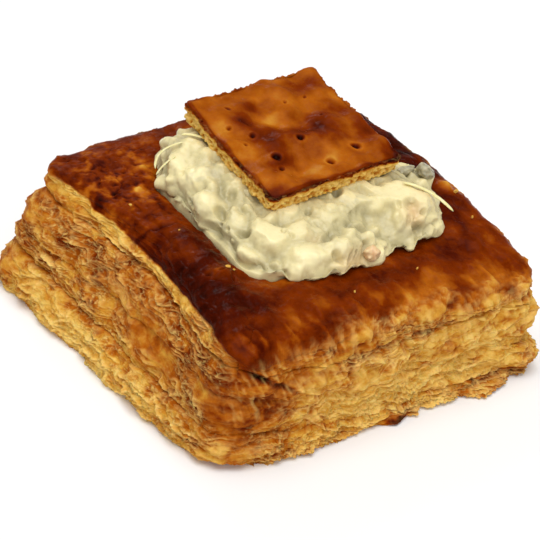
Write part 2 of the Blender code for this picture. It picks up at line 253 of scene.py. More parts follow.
class Recipe:
    """A material in the making: its nodes, and the one shader they feed."""

    def __init__(self, name: str) -> None:
        """Start from a plain Principled shader."""
        self.material = bpy.data.materials.new(name)
        self.material.use_nodes = True
        self.tree = self.material.node_tree
        self.shader = self.tree.nodes["Principled BSDF"]
        self.place = self.add("ShaderNodeTexCoord").outputs["Object"]

    def add(self, kind: str) -> bpy.types.Node:
        """A new node of this kind."""
        return self.tree.nodes.new(kind)

    def feed(self, target: Socket, value: object) -> None:
        """Link a socket, or set a number or a colour on it."""
        if isinstance(value, Socket):
            self.tree.links.new(value, target)
        else:
            target.default_value = value

    def field(self, name: str) -> Socket:
        """The piece's own attribute of this name."""
        node = self.add("ShaderNodeAttribute")
        node.attribute_name = name
        return node.outputs["Fac"]

    def noise(
        self, size: float, detail: float = 3.0, stretch: float = 1.0, tangle: float = 0.0
    ) -> Socket:
        """Noise from 0 to 1.

        Args:
            size: how wide its bumps are, in mm.
            detail: how many finer layers it has.
            stretch: how many times longer the bumps are along X and Y.
            tangle: how far they wander, in bumps.

        Returns:
            The socket with the noise.
        """
        mapping = self.add("ShaderNodeMapping")
        mapping.inputs["Scale"].default_value = (1 / stretch, 1 / stretch, 1.0)
        self.feed(mapping.inputs["Vector"], self.place)
        node = self.add("ShaderNodeTexNoise")
        self.feed(node.inputs["Vector"], mapping.outputs["Vector"])
        node.inputs["Scale"].default_value = 1 / (size * MM)
        node.inputs["Detail"].default_value = detail
        node.inputs["Distortion"].default_value = tangle
        return node.outputs["Fac"]

    def fibres(self, size: float, stretch: float, tangle: float, width: float) -> Socket:
        """Thin lines that run level, branch and meet: 1 on a line and 0 between them.

        Args:
            size: how far apart they are, in mm.
            stretch: how many times longer than that the cells between them are.
            tangle: how far they wander, in cells.
            width: how thick they are, as a share of a cell.

        Returns:
            The socket with the lines.
        """
        cells = self.noise(size, 2.0, stretch, tangle)
        away = self.math("ABSOLUTE", self.sum(0.0, cells, 1.0, 0.5))
        return self.between(away, 0.0, width, 1.0, 0.0)

    def math(self, operation: str, *values: object) -> Socket:
        """The result of one step of arithmetic."""
        node = self.add("ShaderNodeMath")
        node.operation = operation
        for socket, value in zip(node.inputs, values):
            self.feed(socket, value)
        return node.outputs[0]

    def product(self, first: object, second: object) -> Socket:
        """One value times the other."""
        return self.math("MULTIPLY", first, second)

    def sum(self, base: object, other: object, share: float, middle: float = 0.0) -> Socket:
        """base + (other - middle) * share."""
        return self.math("MULTIPLY_ADD", other, share, self.math("ADD", base, -middle * share))

    def ramp(self, value: object, stops: tuple[tuple[float, Colour], ...]) -> Socket:
        """The colour at this value on a ramp of stops."""
        node = self.add("ShaderNodeValToRGB")
        for index, (place, shade) in enumerate(stops):
            elements = node.color_ramp.elements
            stop = elements[index] if index < 2 else elements.new(place)
            stop.position = place
            stop.color = linear(shade)
        self.feed(node.inputs["Fac"], value)
        return node.outputs["Color"]

    def mix(self, share: object, under: object, over: object) -> Socket:
        """One colour laid over another by this share."""
        node = self.add("ShaderNodeMix")
        node.data_type = "RGBA"
        self.feed(node.inputs["Factor"], share)
        self.feed(node.inputs["A"], under)
        self.feed(node.inputs["B"], over)
        return node.outputs["Result"]

    def between(
        self, value: object, low: float, high: float, to_low: float = 0.0, to_high: float = 1.0
    ) -> Socket:
        """The value moved from one range into another, and held inside it."""
        node = self.add("ShaderNodeMapRange")
        self.feed(node.inputs["Value"], value)
        ends = {"From Min": low, "From Max": high, "To Min": to_low, "To Max": to_high}
        for name, number in ends.items():
            node.inputs[name].default_value = number
        return node.outputs["Result"]

    def bump(self, height: object, depth: float, under: object = None) -> Socket:
        """A normal from a height of 0 to 1 that is this deep in mm."""
        node = self.add("ShaderNodeBump")
        node.inputs["Distance"].default_value = depth * MM
        self.feed(node.inputs["Height"], height)
        if under is not None:
            self.feed(node.inputs["Normal"], under)
        return node.outputs["Normal"]

    def set(self, **values: object) -> None:
        """Feed the shader's sockets, each named with underscores for its spaces."""
        for name, value in values.items():
            self.feed(self.shader.inputs[name.replace("_", " ")], value)


def linear(shade: Colour) -> tuple[float, float, float, float]:
    """A display colour of 0 to 255 as linear light."""
    channels = [value / 255 for value in shade]
    light = [c / 12.92 if c <= 0.04045 else ((c + 0.055) / 1.055) ** 2.4 for c in channels]
    return (*light, 1.0)


@dataclass(frozen=True)
class BakedPastry:
    """Baked puff pastry, from cream through gold and red-brown to burnt.

    It reads five attributes of the piece: bake, how far the place is browned; pale, how much of
    a bare layer's edge it is; a painted shade, darker the deeper the place lies in hollows and
    creases; glaze, how much egg wash it carries; and flaky, how far its layers have come apart into
    fibres.
    """

    browning: tuple[tuple[float, Colour], ...] = (
        (0.00, (250, 234, 176)), (0.15, (240, 210, 128)), (0.30, (224, 182, 90)),
        (0.45, (202, 144, 50)), (0.60, (170, 90, 14)), (0.75, (118, 42, 0)),
        (0.88, (72, 15, 0)), (1.00, (28, 3, 0)),
    )
    edge: Colour = (246, 206, 120)

    def material(self) -> bpy.types.Material:
        """Make the material."""
        recipe = Recipe("baked_pastry")
        glaze, flaky = recipe.field("glaze"), recipe.field("flaky")
        mottle = recipe.sum(0.0, recipe.noise(2.2, 5.0, 1.6), 0.20, 0.5)
        mottle = recipe.sum(mottle, recipe.noise(0.5, 3.0, 1.5), 0.14, 0.5)
        matt = recipe.between(glaze, 0.0, 1.0, 1.0, 0.35)
        bake = recipe.sum(recipe.field("bake"), recipe.product(mottle, matt), 1.0)
        # Painted shade: places deep in hollows, creases, grooves and holes are darkened.
        bake = recipe.sum(bake, recipe.field("recess_shade"), 0.22)
        bake = recipe.sum(bake, flaky, 0.05)
        fibres = recipe.product(recipe.fibres(1.9, 3.6, 0.6, 0.04), flaky)
        # Pale flecks of crumb that also stand in for glints: partly painted highlight.
        flecks_and_glints = recipe.product(recipe.between(recipe.noise(0.9, 5.0, 1.6), 0.54, 0.66), flaky)
        pale = recipe.sum(recipe.field("pale"), fibres, 0.24)
        pale = recipe.sum(pale, flecks_and_glints, 0.40)
        colour = recipe.mix(pale, recipe.ramp(bake, self.browning), linear(self.edge))
        rough = recipe.between(glaze, 0.0, 1.0, 0.48, 0.24)
        rough = recipe.sum(rough, recipe.noise(1.1, 4.0), 0.20, 0.5)
        rough = recipe.sum(rough, flaky, 0.18)
        relief = recipe.bump(recipe.noise(0.45, 4.0, 1.5), 0.07)
        relief = recipe.bump(recipe.noise(1.6, 3.0), 0.12, relief)
        relief = recipe.bump(fibres, 0.10, relief)
        relief = recipe.bump(flecks_and_glints, 0.15, relief)
        recipe.set(
            Base_Color=colour, Roughness=rough, Normal=relief, IOR=1.09,
            Subsurface_Weight=0.16, Subsurface_Scale=0.7 * MM, Subsurface_Radius=(1.0, 0.45, 0.15),
        )
        return recipe.material


@dataclass(frozen=True)
class CreamSauce:
    """Thick cream sauce over what it binds. It reads three attributes: its tone, with painted shade in
    the hollows and painted light on the crests; a grey tint of the mushroom colour, near the mushrooms
    and as painted shade in hollows, a hole and a fold; and a pink tint of ham.
    """

    cream: tuple[tuple[float, Colour], ...] = (
        (0.0, (144, 136, 100)), (0.25, (200, 188, 142)), (0.5, (232, 218, 164)),
        (0.75, (248, 236, 186)), (1.0, (253, 246, 214)),
    )
    # The grey tint's colour: near mushrooms, and as painted shade in the sauce's hollows.
    mushroom: Colour = (158, 152, 124)
    ham: Colour = (226, 184, 132)

    def material(self) -> bpy.types.Material:
        """Make the material."""
        recipe = Recipe("cream_sauce")
        tone_and_relief_shading = recipe.sum(recipe.field("tone_and_relief_shading"), recipe.noise(3.0, 4.0), 0.22, 0.5)
        tone_and_relief_shading = recipe.sum(tone_and_relief_shading, recipe.noise(0.8, 3.0), 0.08, 0.5)
        colour = recipe.ramp(tone_and_relief_shading, self.cream)
        # Grey: a mushroom tint, and painted shade in hollows, a hole and a fold.
        colour = recipe.mix(recipe.field("grey_tint_and_shade"), colour, linear(self.mushroom))
        colour = recipe.mix(recipe.field("pink"), colour, linear(self.ham))
        rough = recipe.between(recipe.noise(1.5, 3.0), 0.3, 0.7, 0.22, 0.42)
        relief = recipe.bump(recipe.noise(0.9, 3.0), 0.05)
        recipe.set(
            Base_Color=colour, Roughness=rough, Normal=relief, IOR=1.42,
            Subsurface_Weight=0.12, Subsurface_Scale=0.8 * MM, Subsurface_Radius=(1.0, 0.8, 0.45),
        )
        return recipe.material


@dataclass(frozen=True)
class Morsel:
    """The finish of a small moist piece, such as cheese, mushroom or ham."""

    name: str
    dark: Colour
    light: Colour
    grain: float
    roughness: float

    def material(self) -> bpy.types.Material:
        """Make the material."""
        recipe = Recipe(self.name)
        shade = recipe.noise(self.grain, 4.0)
        colour = recipe.ramp(shade, ((0.3, self.dark), (0.7, self.light)))
        relief = recipe.bump(recipe.noise(self.grain / 2, 3.0), 0.08)
        rough = recipe.between(shade, 0.3, 0.7, self.roughness, self.roughness + 0.12)
        recipe.set(
            Base_Color=colour, Roughness=rough, Normal=relief,
            Subsurface_Weight=0.3, Subsurface_Scale=1.0 * MM, Subsurface_Radius=(1.0, 0.7, 0.4),
        )
        return recipe.material


@dataclass(frozen=True)
class PlainFloor:
    """A matt white studio floor."""

    shade: Colour = (243, 243, 243)

    def material(self) -> bpy.types.Material:
        """Make the material."""
        recipe = Recipe("studio_floor")
        grain = recipe.noise(40.0, 2.0)
        recipe.set(Base_Color=linear(self.shade), Roughness=recipe.between(grain, 0.0, 1.0, 0.7, 0.8))
        return recipe.material


@dataclass(frozen=True)
class SlabPlace:
    """The wall's slabs at one place: its three grooves' heights and depths, and four stands."""

    share: float
    heights: Triple
    depths: Triple
    stands: tuple[float, float, float, float]


SLAB_PLACES = (
    SlabPlace(0.00, (9.0, 20.0, 26.5), (1.0, 1.4, 1.6), (0.6, 0.0, 0.7, -0.3)),
    SlabPlace(0.05, (6.0, 15.0, 22.5), (0.7, 1.5, 1.0), (2.0, 0.2, 0.6, 0.0)),
    SlabPlace(0.10, (3.0, 11.5, 20.5), (0.7, 1.5, 1.0), (1.4, 0.0, 0.6, 0.0)),
    SlabPlace(0.20, (3.0, 11.5, 22.0), (0.9, 1.5, 1.2), (1.2, 0.0, 0.8, 0.2)),
    SlabPlace(0.25, (2.0, 8.2, 21.0), (1.6, 4.8, 0.8), (0.0, 3.8, 1.4, 0.4)),
    SlabPlace(0.32, (6.0, 12.5, 24.0), (1.6, 2.0, 1.4), (1.2, 0.2, 0.9, 0.0)),
    SlabPlace(0.50, (8.5, 17.0, 28.0), (2.4, 2.2, 2.4), (1.4, -0.2, 0.9, -0.3)),
    SlabPlace(0.72, (11.7, 17.0, 28.3), (2.0, 1.6, 2.6), (1.6, 0.4, 0.9, 0.0)),
    SlabPlace(0.75, (11.9, 17.0, 29.0), (3.2, 1.8, 4.6), (4.4, 2.4, 1.8, 0.4)),
    SlabPlace(0.78, (11.0, 17.0, 28.0), (2.2, 1.5, 2.4), (2.4, 0.4, 1.0, 0.0)),
    SlabPlace(0.86, (9.0, 17.0, 26.0), (1.4, 1.4, 1.8), (0.8, 0.0, 0.9, -0.3)),
    SlabPlace(0.95, (9.0, 19.0, 26.0), (1.0, 1.4, 1.6), (2.0, 0.4, 0.7, -0.3)),
    SlabPlace(1.00, (9.0, 20.0, 26.5), (1.0, 1.4, 1.6), (0.6, 0.0, 0.7, -0.3)),
)
TOP_SLAB = 3


def square_ring(share: Array, half: float, corner: float) -> tuple[Array, Array]:
    """Points and outward normals of a rounded square, these shares of the way round it."""
    side, along = np.divmod(share % 1.0 * 4, 1.0)
    edge = stack(half * (2 * along - 1), np.full_like(along, -half))
    inner = np.clip(edge, corner - half, half - corner)
    normal = edge - inner
    normal /= np.linalg.norm(normal, axis=-1, keepdims=True)
    cos, sin = np.cos(side * math.pi / 2), np.sin(side * math.pi / 2)
    return tuple(
        stack(v[..., 0] * cos - v[..., 1] * sin, v[..., 0] * sin + v[..., 1] * cos)
        for v in (inner + normal * corner, normal)
    )


@dataclass(frozen=True)
class CaseForm:
    """The plain form of the pastry case, as the solid has it."""

    half: float = 50.0
    corner: float = 6.0
    edges: tuple[float, float, float, float] = (32.0, 27.5, 39.0, 36.0)
    swells: Triple = (1.0, 5.6, 2.6)
    dome: float = 1.0
    base_inset: float = 1.2
    base_corner_inset: float = 3.6
    left_spread: tuple[float, float] = (4.8, 10.0)
    left_spread_span: tuple[float, float] = (-48.0, 5.0)
    drawn_in: Triple = (9.0, 2.0, 30.0)
    front_spread: float = 2.8
    back_spread: float = 2.5
    lean_curve: float = 0.8
    flare_curve: int = 3
    shoulder_soft: float = 4.5
    shoulder_sharp: float = 2.2
    well_half: float = 28.0
    well_corner: float = 9.0
    well_shift: tuple[float, float] = (-0.5, 1.2)
    well_floor: float = 12.0
    rim_round: float = 1.4
    crags: Swell = Swell(11.0, 1.1, 2)
    flakes: Swell = Swell(5.0, 0.8, 3)
    blisters: Swell = Swell(9.0, 0.6, 5)
    waver: Swell = Swell(12.0, 0.5, 8)

    def crust_height(self, x: Array, y: Array) -> Array:
        """Height of the crust over these places: lowest at the right corner."""
        u, v = np.clip(x / self.half, -1, 1), np.clip(y / self.half, -1, 1)
        at_front, at_right, at_back, at_left = self.edges
        front = blend(at_front, at_right, (u + 1) / 2) + self.swells[0] * (1 - u * u)
        back = blend(at_left, at_back, (u + 1) / 2) + self.swells[2] * (1 - u * u)
        right = self.swells[1] * np.maximum(0.0, u) * (1 - v * v)
        return blend(front, back, (v + 1) / 2) + right

    def lean(self, y: Array, normal: Array, level: Array) -> Array:
        """How far the wall stands outside the plain square at these shares of its height."""
        left = np.maximum(0.0, -normal[..., 0])
        back, front = np.maximum(0.0, normal[..., 1]), np.maximum(0.0, -normal[..., 1])
        spread = left * blend(*self.left_spread, ease(*self.left_spread_span, y))
        spread = spread + back * self.back_spread
        flare = front * self.front_spread * (1 - level) ** self.flare_curve
        depth, at, reach = self.drawn_in
        drawn = left * depth * bell(y - at, reach)
        return spread * (1 - level) ** self.lean_curve + flare - drawn * level

    def slabs_at(self, share: Array) -> tuple[Array, Array, Array]:
        """The grooves' heights and depths and the slabs' stands, each as its own last axis."""
        share = share % 1.0
        starts = np.array([place.share for place in SLAB_PLACES])
        index = np.clip(np.searchsorted(starts, share, side="right") - 1, 0, len(starts) - 2)
        step = ease(0.0, 1.0, (share - starts[index]) / (starts[index + 1] - starts[index]))
        found = []
        for name in ("heights", "depths", "stands"):
            table = np.array([getattr(place, name) for place in SLAB_PLACES])
            found.append(blend(table[index], table[index + 1], step[..., None]))
        return tuple(found)

    def shoulder_size(self, normal: Array) -> Array:
        """Radius where the wall turns over into the crust: tight on the left."""
        return blend(self.shoulder_soft, self.shoulder_sharp, np.maximum(0.0, -normal[..., 0]))

    def groove(self, share: Array, slab: int, rise: Array) -> Array:
        """How far the grooves over and under a slab draw its face in."""
        _, depths, _ = self.slabs_at(share)
        face = np.sin(math.pi * (np.minimum(rise, 0.5) if slab == TOP_SLAB else rise))
        upper, lower = depths[..., min(slab, TOP_SLAB - 1)], depths[..., max(slab - 1, 0)]
        return np.where((rise > 0.5) & (slab < TOP_SLAB), upper, lower) * (1 - face)

    def wall(self, share: Array, slab: int, rise: Array) -> tuple[Array, Array]:
        """Points of a slab's outer face and their level normals, at these shares of its height."""
        point, normal = square_ring(share, self.half, self.corner)
        top = self.crust_height(point[..., 0], point[..., 1]) - self.shoulder_size(normal)
        heights, _, stands = self.slabs_at(share)
        low = heights[..., slab - 1] if slab else 0.0
        high = top if slab == TOP_SLAB else heights[..., slab]
        height = blend(low, high, rise)
        crag = self.crags.at(point[..., 0], point[..., 1], height)
        flake = self.flakes.at(point[..., 0], point[..., 1], 2 * height)
        out = self.lean(point[..., 1], normal, height / top) + stands[..., slab] + crag + flake
        out = out - self.groove(share, slab, rise)
        if slab == 0:
            corner = self.base_corner_inset * 2 * np.abs(normal[..., 0] * normal[..., 1])
            out = out - (self.base_inset + corner) * (1 - ease(0.0, 0.25, rise))
        plan = point + normal * out[..., None]
        return stack(plan[..., 0], plan[..., 1], height), normal

    def shoulder(self, share: Array, turn: Array) -> Array:
        """Points where the wall rounds over into the crust, from 0 at the wall to 1 on it."""
        wall, normal = self.wall(share, TOP_SLAB, np.ones_like(share))
        size = self.shoulder_size(normal)
        angle = turn * math.pi / 2
        plan = wall[..., :2] - normal * (size * (1 - np.cos(angle)))[..., None]
        return stack(plan[..., 0], plan[..., 1], wall[..., 2] + size * np.sin(angle))

    def well(self, share: Array, sunk: Array, outside: float | Array = 0.0) -> Array:
        """Points of the well, from 0 at its rim to 1 at its floor, moved out by outside."""
        point, normal = square_ring(share, self.well_half, self.well_corner)
        waver = self.waver.at(point[..., 0], point[..., 1], np.zeros_like(share)) + outside
        plan = point + normal * waver[..., None] + np.array(self.well_shift)
        rim = self.crust_height(point[..., 0], point[..., 1]) - self.rim_round
        return stack(plan[..., 0], plan[..., 1], blend(rim, self.well_floor, sunk))

    def rim(self, share: Array, turn: Array) -> Array:
        """Points where the crust rounds over into the well, from 0 on it to 1 in the well."""
        angle = turn * math.pi / 2
        edge = self.well(share, np.zeros_like(share), self.rim_round * (1 - np.sin(angle)))
        return edge + stack(0 * angle, 0 * angle, self.rim_round * np.cos(angle))

    def crust(self, share: Array, inward: Array) -> Array:
        """Points on the crust, from 0 at the shoulder to 1 at the well's rim."""
        outer = self.shoulder(share, np.ones_like(share))
        rim = self.well(share, np.zeros_like(share), self.rim_round)
        plan = blend(outer[..., :2], rim[..., :2], inward[..., None])
        rim_height = self.crust_height(rim[..., 0], rim[..., 1])
        height = blend(outer[..., 2], rim_height, inward)
        dome = self.dome + self.blisters.at(plan[..., 0], plan[..., 1], np.zeros_like(share))
        return stack(plan[..., 0], plan[..., 1], height + dome * np.sin(math.pi * inward))


@dataclass(frozen=True)
class Browning:
    """How the oven coloured the case, with a little painted sheen and shade: slabs by place and level,
    and the crust by its patches.

    Each row of slabs has a share of the way round, and how far the foot, the lower, the middle
    and the upper slab are browned there. The crust's line is where its colour starts: how far
    above the case's edge, as it is seen from half above.
    """

    slabs: tuple[tuple[float, tuple[float, ...]], ...] = (
        (0.00, (0.46, 0.58, 0.60, 0.64)), (0.04, (0.38, 0.46, 0.50, 0.54)),
        (0.10, (0.30, 0.29, 0.37, 0.46)), (0.18, (0.26, 0.27, 0.32, 0.42)),
        (0.25, (0.38, 0.34, 0.34, 0.38)), (0.40, (0.34, 0.42, 0.46, 0.50)),
        (0.60, (0.34, 0.44, 0.48, 0.50)), (0.75, (0.48, 0.56, 0.55, 0.52)),
        (0.80, (0.30, 0.48, 0.52, 0.43)), (0.90, (0.25, 0.51, 0.53, 0.41)),
        (1.00, (0.46, 0.58, 0.60, 0.64)),
    )
    crust_line: tuple[tuple[float, float], ...] = (
        (0.00, -5.0), (0.04, -4.0), (0.08, -0.1), (0.12, -0.4), (0.16, -0.3), (0.235, -1.8),
        (0.26, -2.0), (0.50, -2.5), (0.73, -2.0), (0.77, -0.6), (0.97, -0.6), (1.00, -2.0),
    )
    crust_bake: float = 0.76
    crust_fade: tuple[float, float] = (3.8, 0.5)
    panel_edge: Triple = (-49.5, 10.1, -0.42)
    clouds_bake: float = 0.09
    panel_bake: float = 0.06
    panel_span: tuple[float, float] = (-30.0, -34.0)
    folds_sheen_and_bake: float = 0.12
    folds_span: tuple[float, float] = (-38.0, -46.0)
    golden_bake: float = 0.25
    dull_corner: Spot = Spot(-38.0, 30.0, (16.0, 18.0), 1.0)
    # The grain of the browning: of the crust's border, of the crust and of the wall.
    tongues: Grain = Grain((8.0, 8.0, 12.0), 64, 2, 2.4)
    fringe: Grain = Grain((1.8, 1.8, 9.0), 61, 2, 0.35)
    clouds: Grain = Grain((10.0, 10.0, 10.0), 62, 2)
    specks: Grain = Grain((2.6, 2.6, 2.6), 65, 2, 0.03)
    golden: Grain = Grain((4.5, 4.5, 4.5), 66, 3)
    crack: Grain = Grain((3.0, 3.0, 3.0), 68, 2, 0.5)
    fold_lines: Grain = Grain((2.8, 9.0, 9.0), 67, 2, 1.6)
    wall_clouds: Grain = Grain((8.0, 8.0, 4.0), 41, 2, 0.09)
    wall_specks: Grain = Grain((2.5, 2.5, 1.6), 42, 2, 0.06)
    front_stains: tuple[Spot, ...] = (
        Spot(-0.5, 1.0, (5.6, 1.6), 0.58, 6.0), Spot(32.0, 0.6, (15.0, 1.1), 0.18, 2.0),
        # Spot(32.0, 2.6) paints a shadow line in the groove over the base lip.
        Spot(32.0, 2.6, (14.0, 0.6), 0.20, 2.0), Spot(-38.0, 15.0, (10.0, 4.0), 0.10),
        Spot(-43.5, 25.0, (2.6, 0.8), 0.26, -28.0), Spot(-36.0, 20.0, (6.0, 0.7), 0.22, -32.0),
        Spot(-42.0, 28.0, (7.0, 4.0), 0.06), Spot(-15.0, 8.0, (14.0, 4.0), -0.08),
        Spot(15.0, 10.0, (16.0, 4.0), -0.10), Spot(22.0, 28.0, (7.0, 3.0), 0.10),
        Spot(2.0, 30.0, (5.0, 3.0), -0.05), Spot(-46.0, 8.0, (5.0, 4.0), 0.10),
        Spot(19.0, 15.0, (3.0, 2.0), 0.16), Spot(-25.0, 16.0, (10.0, 3.0), -0.08),
        Spot(-7.5, 21.6, (8.0, 1.0), 0.13, 8.0), Spot(8.0, 22.3, (8.0, 1.0), 0.13),
        Spot(25.0, 26.8, (7.0, 1.1), 0.13, 28.0), Spot(-15.4, 17.6, (1.5, 5.0), 0.11),
        Spot(37.0, 19.0, (7.0, 1.0), 0.09, 35.0),
    )
    left_stains: tuple[Spot, ...] = (
        Spot(12.5, 22.0, (5.0, 2.6), 0.18), Spot(-18.0, 16.5, (14.0, 3.4), 0.06),
        Spot(0.0, 36.0, (45.0, 4.0), -0.11), Spot(0.0, 30.8, (55.0, 2.6), -0.18, 2.3),
        Spot(-28.0, 12.0, (10.0, 3.0), -0.08), Spot(0.0, 3.0, (40.0, 4.0), -0.06),
        Spot(44.0, 30.0, (7.0, 4.0), 0.10), Spot(50.0, 6.0, (6.0, 5.0), 0.12),
        Spot(-46.0, 22.0, (6.0, 6.0), 0.05), Spot(40.0, 22.0, (14.0, 5.0), -0.05),
    )
    patches: tuple[Spot, ...] = (
        Spot(-40.0, -22.0, (10.0, 20.0), 0.09), Spot(-42.0, -42.0, (9.0, 9.0), -0.05),
        Spot(-24.0, -40.0, (16.0, 9.0), 0.04), Spot(-38.0, 26.0, (12.0, 12.0), 0.02),
        Spot(40.0, 20.0, (10.0, 22.0), 0.18), Spot(42.0, -6.0, (8.0, 18.0), 0.09),
        Spot(10.0, -40.0, (20.0, 7.0), -0.04), Spot(42.0, -34.0, (9.0, 9.0), -0.04),
        Spot(-26.0, -10.0, (4.0, 8.0), 0.04), Spot(-42.0, 7.0, (8.0, 0.8), 0.12, -22.0),
        Spot(-36.0, -21.5, (3.6, 2.6), -0.15), Spot(-43.9, 23.8, (2.0, 1.6), 0.24),
        Spot(44.4, -12.0, (2.0, 2.6), -0.36), Spot(-33.6, 22.7, (1.8, 1.0), -0.3, 30.0),
        Spot(-27.8, 30.5, (1.8, 1.0), -0.3), Spot(30.0, -33.0, (9.0, 4.0), 0.09, 25.0),
        Spot(37.0, -14.0, (3.5, 12.0), 0.12), Spot(-32.0, -20.0, (2.6, 10.0), 0.08),
        Spot(4.0, -36.5, (22.0, 2.6), 0.07), Spot(16.0, -44.0, (16.0, 3.5), -0.05),
        Spot(44.0, -30.0, (3.0, 10.0), -0.04),
    )

    def of_slab(self, share: Array, slab: int, rise: Array) -> Array:
        """How far a slab's face is browned, smoothly from slab to slab."""
        places = [row[0] for row in self.slabs]
        levels = np.array([row[1] for row in self.slabs])
        column = [np.interp(share % 1.0, places, levels[:, level]) for level in range(TOP_SLAB + 1)]
        here = column[slab]
        under, over = column[max(slab - 1, 0)], column[min(slab + 1, TOP_SLAB)]
        return blend(blend(under, here, 0.5 + rise), here, ease(0.0, 0.5, rise)) * (rise < 0.5) + (
            blend(here, blend(here, over, rise - 0.5), ease(0.5, 1.0, rise)) * (rise >= 0.5)
        )

    def crusted(self, share: Array, points: Array, form: CaseForm) -> Array:
        """How much of the crust's own colour there is at these points, from 0 to 1."""
        x, y, z = np.moveaxis(points, -1, 0)
        inset = np.clip(form.half - np.maximum(np.abs(x), np.abs(y)), 0.0, 8.0)
        line = np.interp(share % 1.0, *zip(*self.crust_line))
        left = ease(0.74, 0.78, share % 1.0)
        tongue = self.tongues.at(x, y, z) + self.fringe.at(x, y, z)
        seen = z - form.crust_height(x, y) + 0.6 * inset + tongue * blend(1.0, 0.2, left)
        return ease(-1.0, 1.0, (seen - line) / blend(*self.crust_fade, left))

    def of_crust(self, points: Array) -> Array:
        """How far the crust is browned at these points."""
        x, y, z = np.moveaxis(points, -1, 0)
        mottle = self.clouds_bake * np.minimum(self.clouds.at(x, y, z), 0.4) + self.specks.at(x, y, z)
        # Lighter along the folds over the front shoulder: paler pastry, with painted sheen.
        mottle = mottle - self.folds_sheen_and_bake * self.folds(x, y, z)
        golden = self.dull_corner.at(x, y) * np.clip(self.golden.at(x, y, z), 0.0, 1.0)
        patches = all_spots(self.patches, x, y) + self.panel_bake * self.panel(x, y)
        return self.crust_bake + patches + mottle - self.golden_bake * golden

    def panel(self, x: Array, y: Array) -> Array:
        """The darker sheet of crust on the left, from 0 beyond its crack to 1 on it."""
        at_x, at_y, slope = self.panel_edge
        beyond = at_y + slope * (x - at_x) - y + self.crack.at(x, y, 0 * x)
        return ease(-0.25, 0.25, beyond) * ease(*self.panel_span, x)

    def folds(self, x: Array, y: Array, z: Array) -> Array:
        """Folds of the crust that run up over the front shoulder, from 0 to about 1."""
        lines = self.fold_lines.at(x + 0.35 * z, y, z)
        return ease(*self.folds_span, y) * np.clip(lines - 0.1, 0.0, 1.0)

    def of_wall(self, points: Array, normal: Array) -> Array:
        """How much more or less than its slab a place on the wall is browned."""
        x, y, z = np.moveaxis(points, -1, 0)
        front, left = np.maximum(0.0, -normal[..., 1]), np.maximum(0.0, -normal[..., 0])
        stains = front * all_spots(self.front_stains, x, z) + left * all_spots(self.left_stains, y, z)
        return stains + self.wall_clouds.at(x, y, z) + self.wall_specks.at(x, y, z)


